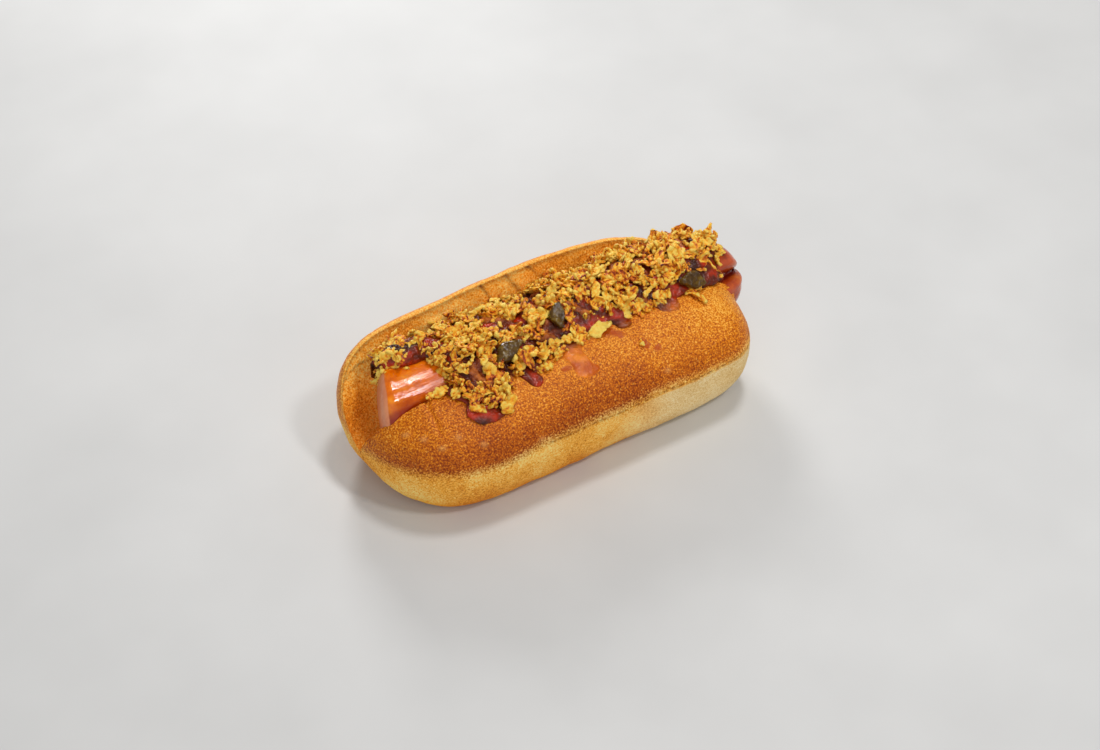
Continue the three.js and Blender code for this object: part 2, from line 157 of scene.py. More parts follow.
def noise(points, size, seed=0):
    """Smooth values from about -1 to 1 at each point, with bumps about as wide as size."""
    slopes = lattice_slopes(seed)
    q = np.asarray(points, np.float64) / size
    base = np.floor(q).astype(int)
    part = q - base
    ease = part**3 * (part * (part * 6 - 15) + 10)
    total = np.zeros(q.shape[:-1])
    for corner in np.ndindex(2, 2, 2):
        corner = np.array(corner)
        index = (base + corner) % LATTICE
        slope = slopes[index[..., 0], index[..., 1], index[..., 2]]
        weight = np.prod(np.where(corner == 1, ease, 1 - ease), axis=-1)
        total += weight * np.sum(slope * (part - corner), axis=-1)
    return total * 1.7


def rough(points, size, seed=0, octaves=3):
    """Noise with finer noise on it, each half as strong and as wide as the one before."""
    return sum(noise(points, size / 2**i, seed + i) / 2**i for i in range(octaves)) / 1.6


def mix(a, b, s):
    return a + (b - a) * s


def smooth(v):
    s = np.clip(v, 0, 1)
    return s * s * (3 - 2 * s)


def band(v, centre, width):
    """1 at the centre, falling to 0 on both sides."""
    return np.exp(-(((v - centre) / width) ** 2))


print("noise at the origin's neighbour:", float(np.round(noise(np.array([[1.0, 2.0, 3.0]]), 5), 3)[0]))

# %% [markdown]
# Most pieces here are skins: rings of points along the food, each the outline of a slice through it.
# A slice is easy to draw and to change, and thousands of them join into one closed mesh. The helper
# takes the rings as one array, closes both ends with fans, turns the faces outwards and keeps the
# numbers that the materials read as named attributes.

# %% Skins
def write_values(mesh, **values):
    """Numbers for each point, which the materials read by name."""
    for key, numbers in values.items():
        layer = mesh.attributes.new(key, "FLOAT", "POINT")
        layer.data.foreach_set("value", np.asarray(numbers, np.float32))


def skin(name, rings, attributes=None):
    """A closed mesh object from an array of rings by points by 3, in mm."""
    count, size = rings.shape[:2]
    points = np.concatenate([rings.reshape(-1, 3), rings[:1].mean(1), rings[-1:].mean(1)])
    j, k = np.meshgrid(np.arange(count - 1), np.arange(size), indexing="ij")
    a = (j * size + k).ravel()
    b = (j * size + (k + 1) % size).ravel()
    faces = np.stack([a, a + size, b + size, b], 1).tolist()
    first = np.arange(size)
    last = first + (count - 1) * size
    faces += [[count * size, int(u), int(v)] for u, v in zip(first, np.roll(first, -1))]
    faces += [[count * size + 1, int(v), int(u)] for u, v in zip(last, np.roll(last, -1))]
    mesh = bpy.data.meshes.new(name)
    mesh.from_pydata((points * MM).tolist(), [], faces)
    for key, values in (attributes or {}).items():
        ends = [values[0].mean(), values[-1].mean()]
        write_values(mesh, **{key: np.concatenate([values.reshape(-1), ends])})
    return finished(name, mesh)


def finished(name, mesh):
    """Outward, smooth faces, and the object at the origin."""
    shape = bmesh.new()
    shape.from_mesh(mesh)
    if shape.calc_volume(signed=True) < 0:
        bmesh.ops.reverse_faces(shape, faces=shape.faces)
    for face in shape.faces:
        face.smooth = True
    shape.to_mesh(mesh)
    shape.free()
    piece = bpy.data.objects.new(name, mesh)
    bpy.context.scene.collection.objects.link(piece)
    print(name, len(mesh.vertices), "points", sum(len(p.vertices) - 2 for p in mesh.polygons), "triangles")
    return piece


def outward(rings):
    """The way out at each point of an array of rings."""
    along = np.gradient(rings, axis=0)
    around = np.roll(rings, -1, 1) - np.roll(rings, 1, 1)
    out = np.cross(around, along)
    return out / np.maximum(np.linalg.norm(out, axis=-1, keepdims=True), 1e-9)


# %% [markdown]
# The roll was sliced from the top and opened like a book. Its slice has seven curves: the front
# half's crust and wall, the flat base, the back half's wall and crust, and the two faces of the cut.
# Each line of the roll stays full for most of its length and falls to the nose at each end, by a
# formula with two numbers: how square and how round that end is. These are the sizes of the solid.

# %% The roll's sizes
ROLL = dict(
    left=-70.5,
    right=77,
    left_lean=0.12,
    nose=(2, 17),
    front_lip=(-6, 40),
    back_lip=(27, 45.5),
    front_side=(-33, 21),
    back_side=(35, 24),
    front_foot=-25,
    back_foot=26,
    cut_floor=(3, 14.4),
    sole_cut=0.5,
    rim_dip=dict(x=-34, width=15, depth=2),
)
ENDS = dict(
    front_lip_y=((6, 2), (12, 2)),
    front_lip_z=((4.8, 2.2), (9, 2)),
    front_side=((5, 1.8), (11, 2.2)),
    foot=((4.6, 1.4), (10, 1.8)),
    foot_z=((6.5, 1.9), (10, 1.8)),
    back_lip_y=((10, 2), (8, 2)),
    back_lip_z=((5.5, 1.6), (3, 1.5)),
    back_side=((9, 2), (8, 2)),
    cut_floor=((8, 2), (10, 2)),
)
bun_low, bun_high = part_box("bun")
# The roll was drawn about the middle of its base, then moved so that the whole box is centred.
SHIFT = np.array([bun_high.x / MM - ROLL["right"], bun_low.y / MM - ROLL["front_side"][0], 0])
print("shift of the drawing in mm:", SHIFT.round(2))


# %% [markdown]
# Each ring of the roll joins seven corners, found from its sizes and the fullness of that line at that
# place. Between two corners runs a cubic curve, whose two handles are given as shares of the way from
# one corner to the next, so that one pair of handles serves every ring.

# %% The roll's curves
def fullness(t, ends):
    (left_square, left_round), (right_square, right_round) = ends
    square = np.where(t < 0, left_square, right_square)
    round_ = np.where(t < 0, left_round, right_round)
    return (1 - np.abs(t) ** square) ** (1 / round_)


def roll_x(t, y):
    return np.where(t < 0, -ROLL["left"] * t - ROLL["left_lean"] * y * t**4, ROLL["right"] * t)


def bend(start, end, first, second):
    """A cubic from one corner to the next, for all rings at once: a function of 0 to 1.

    It takes one list of places for all rings, or an array with a row of places for each ring."""
    b = start + (end - start) * np.array(first)
    c = start + (end - start) * np.array(second)

    def at(s):
        s = np.asarray(s)
        s = s[None, :, None] if s.ndim == 1 else s[..., None]
        r = 1 - s
        points = [p[:, None, :] for p in (start, b, c, end)]
        return (
            r**3 * points[0]
            + 3 * r * r * s * points[1]
            + 3 * r * s * s * points[2]
            + s**3 * points[3]
        )

    return at


def roll_curves(t):
    def corner(y, z, ends_y, ends_z=None):
        return np.stack([
            mix(ROLL["nose"][0] * t * t, y, fullness(t, ENDS[ends_y])),
            mix(ROLL["nose"][1], z, fullness(t, ENDS[ends_z or ends_y])),
        ], 1)

    dip = ROLL["rim_dip"]
    sag = dip["depth"] * band(roll_x(t, 0), dip["x"], dip["width"])
    front_lip = corner(*ROLL["front_lip"], "front_lip_y", "front_lip_z")
    front_side = corner(*ROLL["front_side"], "front_side")
    front_foot = corner(ROLL["front_foot"], 0, "foot", "foot_z")
    back_foot = corner(ROLL["back_foot"], 0, "foot", "foot_z")
    for foot in (front_foot, back_foot):
        foot[:, 1] = np.maximum(0, foot[:, 1] - ROLL["sole_cut"])
    back_side = corner(*ROLL["back_side"], "back_side")
    back_lip = corner(ROLL["back_lip"][0], ROLL["back_lip"][1] - sag, "back_lip_y", "back_lip_z")
    cut_floor = corner(*ROLL["cut_floor"], "cut_floor")
    return dict(
        front_crust=bend(front_lip, front_side, (0.5, 0), (1, 0.42)),
        front_wall=bend(front_side, front_foot, (0, 0.6), (0.55, 1)),
        base=bend(front_foot, back_foot, (0.33, 0.33), (0.67, 0.67)),
        back_wall=bend(back_foot, back_side, (0.5, 0), (1, 0.45)),
        back_crust=bend(back_side, back_lip, (0, 0.55), (0.45, 1)),
        back_cut=bend(back_lip, cut_floor, (0.34, 0.5), (0.5, 0.98)),
        front_cut=bend(cut_floor, front_lip, (2, 0.15), (1.9, 0.7)),
    )


print("curves of a slice:", list(roll_curves(np.zeros(1))))

# %% [markdown]
# The sausage comes before the bread, because the bread is pressed round it. It is a tube with blunt
# ends on a line that sags a little. Its skin is drawn tight, so it needs only slow waves and a few
# fine wrinkles along it, and the slash near its right end opens as a lengthwise groove.

# %% The sausage's line
SAUSAGE = dict(
    radius=13.7,
    left=(-61.2, 6, 28.6),
    right=(83, 4, 28),
    left_cap=6,
    right_cap=12.5,
    bow=2,
    cap_squareness=2.4,
    slant=(0.43, 20),
)
SLASH = dict(start=66, end=88, angle=math.radians(40), depth=6, width=3)


def sausage_axis(x):
    (x0, y0, z0), (x1, y1, z1) = SAUSAGE["left"], SAUSAGE["right"]
    s = (x - x0) / (x1 - x0)
    return mix(y0, y1, s), mix(z0, z1, s) - SAUSAGE["bow"] * (1 - (2 * s - 1) ** 2)


def cap_fullness(share):
    square = SAUSAGE["cap_squareness"]
    return (1 - np.clip(1 - share, 0, 1) ** square) ** (1 / square)


def sausage_radius(x):
    x0, x1 = SAUSAGE["left"][0], SAUSAGE["right"][0]
    left = cap_fullness((x - x0) / SAUSAGE["left_cap"])
    return SAUSAGE["radius"] * np.minimum(left, cap_fullness((x1 - x) / SAUSAGE["right_cap"]))


def slanted(x, aside):
    """Where a point of the left end goes when the end is cut at a slant."""
    share, length = SAUSAGE["slant"]
    return x + share * aside * (1 - smooth((x - SAUSAGE["left"][0]) / length))


def clear_of_sausage(points, gap):
    """Points moved straight out of the sausage where they are closer to it than the gap."""
    x = points[..., 0]
    y, z = sausage_axis(x)
    x = x + (x - slanted(x, points[..., 1] - y))
    inside = (x > SAUSAGE["left"][0]) & (x < SAUSAGE["right"][0])
    away_y, away_z = points[..., 1] - y, points[..., 2] - z
    far = np.maximum(np.hypot(away_y, away_z), 1e-6)
    wanted = sausage_radius(x) + gap
    push = np.where(inside & (far < wanted), wanted / far, 1)
    moved = points.copy()
    moved[..., 1] = y + away_y * push
    moved[..., 2] = z + away_z * push
    return moved


print("sausage radius half way:", float(sausage_radius(np.array(10.0))))

# %% [markdown]
# Bread, then. Its rings follow the seven curves of the slice and lie closer together towards the ends,
# where the roll turns fast. Each point keeps the name of its curve and its place along it, because
# crust, wall and cut wear different marks. A knife leaves two sharp lips, which soft bread soon wears
# round, so the points near each are drawn together a little.

# %% Bread rings
RINGS = 330
SLICE = dict(front_crust=84, front_wall=60, base=10, back_wall=22, back_crust=34, back_cut=60, front_cut=24)
FAR = 9  # a place that lies past the end of every curve
# How many points round each lip are worn, how often, and how far each time.
LIPS = dict(front=2, back=2.5, passes=6, pull=0.6)


def bread_rings():
    t = -np.cos(np.pi * np.arange(RINGS + 1) / RINGS) * 0.9997
    curves = roll_curves(t)
    flat = np.concatenate([curves[name](np.arange(steps) / steps) for name, steps in SLICE.items()], 1)
    x = roll_x(t[:, None], flat[..., 0])
    kinds = np.repeat(list(SLICE), list(SLICE.values()))
    places = np.concatenate([np.arange(steps) / steps for steps in SLICE.values()])
    return t, np.concatenate([x[..., None], flat], -1), kinds, places


def round_lips(rings, kinds):
    """The two sharp edges of the cut, worn to a small radius."""
    size = rings.shape[1]
    back_edge = list(kinds).index("back_cut")
    near = np.zeros(size)
    for edge, reach in ((0, LIPS["front"]), (back_edge, LIPS["back"])):
        gap = np.abs((np.arange(size) - edge + size // 2) % size - size // 2)
        near = np.maximum(near, smooth(1.3 - gap / reach))
    for _ in range(LIPS["passes"]):
        middle = (np.roll(rings, 1, 1) + np.roll(rings, -1, 1)) / 2
        rings = mix(rings, middle, LIPS["pull"] * near[None, :, None])
    return rings


def place_on(curve):
    return np.where(kinds == curve, places, FAR)[None, :]


t, rings, kinds, places = bread_rings()
rings = round_lips(rings, kinds)
x, y, z = np.moveaxis(rings, -1, 0)
is_front = np.isin(kinds, ["front_crust", "front_wall"])[None, :]
is_cut = np.isin(kinds, ["back_cut", "front_cut"])[None, :] * np.ones_like(x)
on_crust = place_on("front_crust")
on_cut = place_on("back_cut")
print("bread rings:", rings.shape)

# %% [markdown]
# The crust is a smooth dome with shallow dimples, a few dents where fingers held it and small blisters.
# The wall under it never touched hot air and stays pale, with a torn crease between the two. The cut
# faces show crumb: pits of every size. All of this that is larger than a grain of salt is relief in the
# mesh, so that its edges and shadows are real, and it fades out on the sole and at the tips.

# %% Bread relief
BAND_TOP = 24.5  # mm above the floor: the crust turns pale under this line
CREASE = dict(start=-22, below=1.5, width=0.5, depth=0.9)
# Across the crust: where along the roll, how far round it reaches, its width and its depth.
DENTS = [(-50, 0.4, 0.8, 0.55), (-27, 0.5, 3, 0.25), (30, 0.3, 5, 0.3), (58, 0.6, 7, 0.5)]
BLISTERS = [(-60, 0.3), (-56, 0.42), (-52, 0.57), (-46, 0.51), (-19, 0.84), (-39, 0.66), (33, 0.7)]
BLISTER = dict(width=1.1, reach=0.03, height=0.3)
HOLLOW = dict(x=-62, width=9, place=0.55, reach=0.3, depth=1.6)  # in the cut face, beside the sausage's end


def flattened(x):
    """Points on a line along the roll, for noise that is the same all the way round it."""
    return np.stack([x, x * 0, x * 0], -1)


band_top = BAND_TOP - 2 * smooth((-x - 15) / 15) - 2.5 * smooth((-x - 55) / 15)
band_top += 0.5 * noise(flattened(x), 18, 5)
drop = np.clip((band_top - z) / 6 + 0.5, 0, 1) * (1 - is_cut)
crease_height = band_top - CREASE["below"] + 0.25 * noise(flattened(x), 5, 7)
crease = band(z, crease_height, CREASE["width"]) * is_front * smooth((x - CREASE["start"]) / 10)
crease *= np.clip(0.55 + 1.1 * noise(rings, 1.8, 8), 0, 1)
under = smooth((crease_height - z) / 1.5) * is_front * smooth((x - CREASE["start"]) / 12)

relief = 0.5 * noise(rings, 26, 11) + 0.25 * noise(rings, 9, 12) + 0.1 * noise(rings, 3, 13)
relief += is_cut * (0.25 * rough(rings, 5, 21) - 0.9 * np.clip(noise(rings, 2.2, 22) - 0.2, 0, 1))
relief += np.where(drop > 0.5, 0.08, 0.03) * rough(rings, 1.4, 31)
relief -= CREASE["depth"] * crease + 0.35 * under
for centre, reach, width, depth in DENTS:
    lean = 3 * (on_crust - 0.2)
    relief -= depth * band(x, centre - lean, width) * smooth((reach - on_crust) / 0.15 + 0.5)
blister = sum(
    band(x, centre, BLISTER["width"]) * band(on_crust, place, BLISTER["reach"])
    for centre, place in BLISTERS
)
relief += BLISTER["height"] * blister
hollow = band(x, HOLLOW["x"], HOLLOW["width"]) * band(on_cut, HOLLOW["place"], HOLLOW["reach"])
relief -= HOLLOW["depth"] * hollow
sitting = (kinds == "base")[None, :] | (z < 0.3)
relief *= smooth((1 - np.abs(t)) / 0.02)[:, None] * np.where(sitting, 0, 1)
print("bread relief from", relief.min().round(2), "to", relief.max().round(2), "mm")

# %% [markdown]
# What each point is made of, and the light and shade painted on it, go to the material as numbers from 0
# to 1. The front crust is painted darker towards its foot, which is painted shade, and lighter along its
# shoulder, which is a painted highlight; it is also lighter towards the right. The cut face is toasted
# unevenly, with stripes where the griddle's ribs touched it, and is painted a little darker in the hollow
# beside the sausage's end, which is painted shade. Thin sauce soaked into the crust in a few small stains,
# and at the right the torn wall is creamy, while the left wall glows warm near the floor.

# %% Bread tones
# Where sauce soaked into the crust: along the roll, how far round it, and the stain's half sizes.
STAINS = [
    (20, 0.13, 2, 0.05),
    (23, 0.2, 1.6, 0.04),
    (29, 0.36, 2.2, 0.06),
    (33, 0.45, 1.8, 0.04),
    (-1, 0.3, 2.6, 0.03),
]
# Stripes that the griddle left on the back half: at the rim, and how far each leans to the right.
STRIPES = [(-9, 21), (1, 25), (10, 36)]
SAUSAGE_GAP = 0.15  # mm that the bread keeps from the sausage

stain = sum(band(x, centre, half) * band(on_crust, place, reach) for centre, place, half, reach in STAINS)
stain = smooth((stain + 0.35 * noise(rings, 2.4, 17) - 0.35) / 0.3)

scorch = np.zeros_like(x)
for centre, lean in STRIPES:
    stripe = band(x, centre + lean * on_cut, 0.75 + 0.25 * noise(rings, 3, 15))
    scorch += 0.75 * stripe * smooth((0.24 - on_cut) / 0.12) * (0.6 + 0.5 * noise(rings, 2, 16))
scorch += 0.7 * band(x, -61.5 + 110 * (on_cut - 0.08), 0.9) * band(on_cut, 0.1, 0.06)
scorch += is_cut * 0.55 * band(on_cut, 0, 0.03)

crust_tone = 0.44 + 0.14 * smooth((x - 15) / 40)
# Painted shade: the crust is a little darker low down at the left.
crust_tone -= 0.02 * smooth((-x - 15) / 45) * smooth((on_crust - 0.3) / 0.5)
# Painted highlight: the crust is painted lighter along its shoulder, where the light from above gleams.
crust_tone += 0.18 * band(on_crust, 0.25, 0.22) * smooth((x + 35) / 20)
crust_tone += 0.25 * (kinds == "back_crust")[None, :]
crust_tone += 0.05 * smooth((-x - 30) / 20)
# Painted shade: the crust is painted darker towards its foot, where it turns away from the light.
browner = 0.2 - 0.1 * smooth((abs(x) - 22) / 30)
crust_tone -= browner * smooth((on_crust - 0.5) / 0.3) * (on_crust < FAR)
# Painted shade: the cut face is painted a little darker in the hollow beside the sausage's end.
cut_tone = 0.5 + 0.25 * noise(rings, 16, 14) - 0.03 * hollow
cut_tone += 0.35 * band(x, -28, 7) * band(on_cut, 0.14, 0.12)

on_rim = np.where(kinds == "back_crust", places, 0)[None, :]
toasted = np.maximum(is_cut, 0.8 * smooth((on_rim - 0.8) / 0.15))
foot = 0.85 * smooth((10 - z) / 7) * (1 - is_cut) * smooth((25 - x) / 40)
cream = smooth((crease_height - z) / 1.5) * (1 - is_cut) * smooth((x - 5) / 35) * smooth((12 - y) / 16)

rings = rings + outward(rings) * relief[..., None]
rings[..., 2] = np.maximum(rings[..., 2], 0)
rings = clear_of_sausage(rings, SAUSAGE_GAP)
bread = skin("bread_roll", rings + SHIFT, dict(
    drop=drop,
    cut=toasted,
    crease=crease,
    tone=np.where(is_cut > 0, cut_tone, crust_tone),
    foot=foot,
    cream=cream,
    scorch=np.clip(scorch, 0, 1),
    blister=np.clip(blister, 0, 1),
    stain=stain,
))

# %% [markdown]
# The sausage is a skin too, with many more points than the solid's tube. Its left end is a pale cap of
# bare meat, where the coloured skin stops at a sharp edge. Near the right end a knife slit it
# lengthwise: the groove is pressed into the rings, and its lips swell a little.

# %% Sausage shape
SAUSAGE_RINGS, SAUSAGE_SIDES = 280, 150
BARE_END = 3.3  # mm of pale meat at the left tip
SLIT_HALF = 0.16  # half the groove's width, in radians round the sausage

s = np.linspace(0.0002, 0.9998, SAUSAGE_RINGS)
s = mix(s, (1 - np.cos(np.pi * s)) / 2, 0.85)[:, None]
angle = (2 * np.pi * np.arange(SAUSAGE_SIDES) / SAUSAGE_SIDES)[None, :]  # from the top, over the front
x = mix(SAUSAGE["left"][0], SAUSAGE["right"][0], s) + 0 * angle
axis_y, axis_z = sausage_axis(x)
radius = sausage_radius(x)
unit = np.stack([0 * x, -np.sin(angle) + 0 * x, np.cos(angle) + 0 * x], -1)
flat = np.stack([x, axis_y, axis_z], -1)


def on_drum(along):
    """Points on a drum about the sausage, for noise that follows its skin."""
    return np.stack([along, 9 * np.cos(angle) + 0 * x, 9 * np.sin(angle) + 0 * x], -1)


slit_angle = np.pi / 2 - SLASH["angle"]
opened = smooth((x - SLASH["start"]) / 5)
slit = band(angle, slit_angle, SLIT_HALF) * opened
lips = band(np.abs(angle - slit_angle), 2.2 * SLIT_HALF, 0.8 * SLIT_HALF) * opened
surface = flat + radius[..., None] * unit
swell = 0.16 * noise(surface, 14, 41) + 0.05 * noise(surface, 4, 42)
pleats = noise(on_drum(x / 7), 1.6, 43)
near_ends = np.clip(1 - np.minimum(x - x.min(), x.max() - x) / 16, 0, 1)
radius = radius * (1 + 0.004 * near_ends * pleats) + swell * smooth(radius / 6)
radius = radius - SLASH["depth"] * slit * smooth(radius / 8) + 0.5 * lips
bare_edge = BARE_END + 0.5 * noise(on_drum(0 * x), 6, 44)
bare = smooth((bare_edge - (x - x.min())) / 0.35 + 0.5)
radius = radius - 0.12 * bare * smooth(radius / 6)

rings = flat + radius[..., None] * unit
rings[..., 0] = slanted(x, rings[..., 1] - axis_y)
sausage = skin("sausage_body", rings + SHIFT, dict(
    bare=bare,
    slit=np.clip(slit * 1.3, 0, 1),
    lips=lips,
    glaze=smooth((x - 48) / 12),
    dry=smooth((x + 51) / 8) * (1 - smooth((x - 48) / 12)),
    # Painted shade: how low a point lies on the front side, where the skin is painted darker.
    low=smooth((angle + 0.25 * pleats - 0.6) / 0.45) * (angle < np.pi),
))

# %% [markdown]
# Sauce and onion lie on the crust and fill the cut, so both need to know where these are. One function
# gives points on the front crust and the way out there, and another gives the top of the heap at any
# place along the roll and across it. The heap is drawn back from the sausage's left end, slid over the
# lip in one lobe, and has a soft ridge that climbs to the right.

# %% Places on the crust and the heap
HEAP = dict(
    left=-58,
    right=76,
    back=(21, 40),
    ridge=(46.8, 48.2),
    front_y=-13,
    left_y=11,
    left_drop=2,
    right_y=-7.5,
    draw_back=(-37, 8),
    draw_in=(6, 20),
    lobe=dict(x=-30, width=9, reach=7.5, round=0.15),
    lip=(0.25, 2.5),  # how far round the crust its front edge is, and how much over it
    waves=(1.5, 1.2, 0.8),
    fullness=0.8,
    end_squareness=6,
    bottom=34,
    edge=42,
)


def sway(a, b=0):
    return (np.sin(a * 1.7 + b) + np.sin(a * 2.9 + b * 2.3 + 1.3)) / 2


def crust_line(x, places):
    """Points of the front half's crust at one x, and the way out there."""
    t = np.array([-x / ROLL["left"] if x < 0 else x / ROLL["right"]])
    path = roll_curves(t)["front_crust"]
    at = path(places)[0]
    before, after = path(places - 0.02)[0], path(places + 0.02)[0]
    way = (after - before) / np.linalg.norm(after - before, axis=1, keepdims=True)
    return at, np.stack([way[:, 1], -way[:, 0]], 1)


def crust_height(x, place):
    flat_x = np.ravel(x)
    t = np.where(flat_x < 0, -flat_x / ROLL["left"], flat_x / ROLL["right"])
    places = np.broadcast_to(place, np.shape(x)).reshape(-1, 1)
    return roll_curves(t)["front_crust"](places)[:, 0, 1].reshape(np.shape(x))


def heap_edges(x):
    drawn = smooth((x - HEAP["draw_back"][0]) / HEAP["draw_back"][1] + 0.5)
    drawn_in = smooth((x - HEAP["draw_in"][0]) / HEAP["draw_in"][1] + 0.5)
    slid = band(x, HEAP["lobe"]["x"], HEAP["lobe"]["width"])
    open_front = mix(HEAP["front_y"], HEAP["right_y"], drawn_in) - HEAP["lobe"]["reach"] * slid
    front = mix(HEAP["left_y"], open_front, drawn) + HEAP["waves"][0] * sway(x / 6, 1)
    return front, HEAP["back"][0] + HEAP["waves"][1] * sway(x / 5, 4), drawn, slid


def heap_point(x, across):
    """The top of the heap: across is 0 at its back edge and 1 at its front one."""
    x, across = np.broadcast_arrays(np.asarray(x, float), np.asarray(across, float))
    s = (x - HEAP["left"]) / (HEAP["right"] - HEAP["left"])
    end = np.sqrt(1 - np.abs(2 * s - 1) ** HEAP["end_squareness"]) + 0.02
    front, back, drawn, slid = heap_edges(x)
    middle = (front + back) / 2
    ridge = mix(*HEAP["ridge"], s)
    lip_place, lip_lift = HEAP["lip"]
    lip_z = crust_height(x, lip_place + HEAP["lobe"]["round"] * slid) + lip_lift
    front_z = mix(ridge - HEAP["left_drop"], lip_z, drawn)
    arch = ridge - (HEAP["back"][1] + front_z) / 2
    y = mix(middle, mix(back, front, across), end)
    rise = np.clip(np.sin(np.pi * across), 0, 1) ** HEAP["fullness"]
    z = mix(HEAP["back"][1], front_z, across) + arch * rise + HEAP["waves"][2] * sway(x / 3, y / 3)
    return np.stack([x, y, mix(HEAP["edge"], z, end)], -1)


print("heap ridge half way:", heap_point(10.0, 0.5).round(1))

# %% [markdown]
# Sauce is a liquid, so its pieces should flow into each other. They are drawn as separate skins and put
# in one mesh, a voxel remesh melts them into one surface, and a smoothing pass rounds the corners as
# surface tension would. Such results come out of a modifier, so a helper turns them into plain meshes.

# %% Melting skins together
def joined(name, blobs):
    """One mesh of several objects, which are removed."""
    whole = bmesh.new()
    for blob in blobs:
        whole.from_mesh(blob.data)
        bpy.data.objects.remove(blob)
    mesh = bpy.data.meshes.new(name)
    whole.to_mesh(mesh)
    whole.free()
    return mesh


def plain(piece, name):
    """The object with its modifiers applied, as a new plain mesh in a new object."""
    bpy.context.view_layer.update()
    ready = piece.evaluated_get(bpy.context.evaluated_depsgraph_get())
    mesh = bpy.data.meshes.new_from_object(ready)
    bpy.data.objects.remove(piece)
    mesh.name = name
    return finished(name, mesh)


def melted(name, parts, voxel, smoothing):
    """Several skins melted into one closed surface."""
    mesh = joined(name, (skin(name + "_part", rings) for rings in parts))
    piece = bpy.data.objects.new(name, mesh)
    bpy.context.scene.collection.objects.link(piece)
    remesh = piece.modifiers.new("melt", "REMESH")
    remesh.mode = "VOXEL"
    remesh.voxel_size = voxel * MM
    piece.modifiers.new("rounding", "SMOOTH").iterations = smoothing
    return plain(piece, name)


print("a mesh is melted by", melted.__name__, "and made plain by", plain.__name__)

# %% [markdown]
# The sauce is one bed over the sausage and five tongues that ran down the front crust. A tongue follows
# the crust's own line and swells to a thick drop at its tip, as a run of sauce does when it stops. Its
# edges wander, and slow ripples over all of it catch the light. To the right it is thin on the crust and
# turns amber, which is written down for the material.

# %% Sauce shape
SAUCE = dict(
    left=-57,
    right=77,
    back=(20, 37),
    ridge=45.6,
    front_y=-8.5,
    left_y=8,
    left_drop=3,
    draw_back=(-37, 10),
    lip=(0.1, 1.3),  # how far round the crust its front edge is, and how much over it
    waves=(1.2, 0.8, 0.5),
    end_squareness=12,
    bottom=31,
    edge=41,
)
# Where along the roll, how far round the crust it ran, its width and its thickness.
TONGUES = [
    (-33, 0.5, 17, 1.4),
    (-14, 0.36, 9, 1.6),
    (4, 0.47, 11, 1.3),
    (26, 0.16, 8, 1.3),
    (44, 0.2, 9, 1.3),
]
TONGUE = dict(neck=0.75, narrowing=0.8, drift=1.5)
VOXEL, ROUNDING = 0.42, 6


def sauce_bed():
    s = np.linspace(0, 1, 150)[:, None]
    x = mix(SAUCE["left"], SAUCE["right"], s)
    end = np.sqrt(1 - np.abs(2 * s - 1) ** SAUCE["end_squareness"]) + 0.02
    drawn = smooth((x - SAUCE["draw_back"][0]) / SAUCE["draw_back"][1] + 0.5)
    front = mix(SAUCE["left_y"], SAUCE["front_y"], drawn) + SAUCE["waves"][0] * sway(x / 9)
    back = SAUCE["back"][0] + SAUCE["waves"][1] * sway(x / 7, 2)
    middle = (front + back) / 2
    front_z = crust_height(x, SAUCE["lip"][0]) + SAUCE["lip"][1]
    across = np.linspace(0, 1, 40)[None, :]
    y = mix(middle, mix(back, front, across), end)
    sides = mix(SAUCE["back"][1], mix(SAUCE["ridge"] - SAUCE["left_drop"], front_z, drawn), across)
    arch = SAUCE["ridge"] - (SAUCE["back"][1] + front_z) / 2
    z = sides + arch * np.sin(np.pi * across) + SAUCE["waves"][2] * sway(x / 4, y / 3)
    top = np.stack([x + 0 * y, y, mix(SAUCE["edge"], z, end)], -1)
    under = np.linspace(0, 1, 12)[None, 1:-1]
    under_y = mix(middle, mix(front, back, under), end)
    low = np.stack([x + 0 * under_y, under_y, SAUCE["bottom"] + 0 * under_y], -1)
    return np.concatenate([top, low], 1)


def sauce_tongue(x, reach, width, thick):
    s = np.linspace(0, 1, 40)
    at, out = crust_line(x, reach * s)
    tip = np.clip((s - TONGUE["neck"]) / (1 - TONGUE["neck"]), 0, 1)
    narrowing = mix(1, TONGUE["narrowing"], np.minimum(s / TONGUE["neck"], 1))
    swell = narrowing * np.sqrt(np.clip(1 - tip**2, 0.02, 1))
    turn = 2 * np.pi * np.arange(32) / 32
    side = np.where(np.cos(turn) > 0, 20.0, -20.0)
    spots = np.stack(np.broadcast_arrays(s[:, None] * reach * 30, side, x * 3.0), -1)
    across = width / 2 * swell[:, None] * np.cos(turn) * (1 + 0.5 * noise(spots, 4.5, 55))
    lift = thick * (0.55 + 0.45 * tip[:, None] ** 2) * np.minimum(1, swell[:, None] * 1.2) * np.sin(turn)
    flat = at[:, None, :] + out[:, None, :] * lift[..., None]
    return np.concatenate([(x + across + TONGUE["drift"] * s[:, None])[..., None], flat], -1)


def read_points(mesh, key):
    flat = np.empty(len(mesh.vertices) * 3)
    mesh.vertices.foreach_get(key, flat)
    return flat.reshape(-1, 3)


parts = [sauce_bed(), *(sauce_tongue(*tongue) for tongue in TONGUES)]
sauce = melted("sauce_bed", [rings + SHIFT for rings in parts], VOXEL, ROUNDING)
points = read_points(sauce.data, "co") / MM
normals = read_points(sauce.data, "normal")
ripple = 0.55 * noise(points, 5.5, 51) + 0.35 * noise(points, 2.4, 52)
on_crust = smooth((-(points[:, 1] - SHIFT[1]) - 9) / 5)
rippled = points + normals * (ripple * mix(1, 0.35, on_crust))[:, None]
sauce.data.vertices.foreach_set("co", (rippled * MM).ravel())
sauce.data.update()
along = points[:, 0] - SHIFT[0]
write_values(sauce.data, amber=on_crust * smooth((along + 8) / 6) * mix(1, 0.55, smooth((along - 14) / 6)))

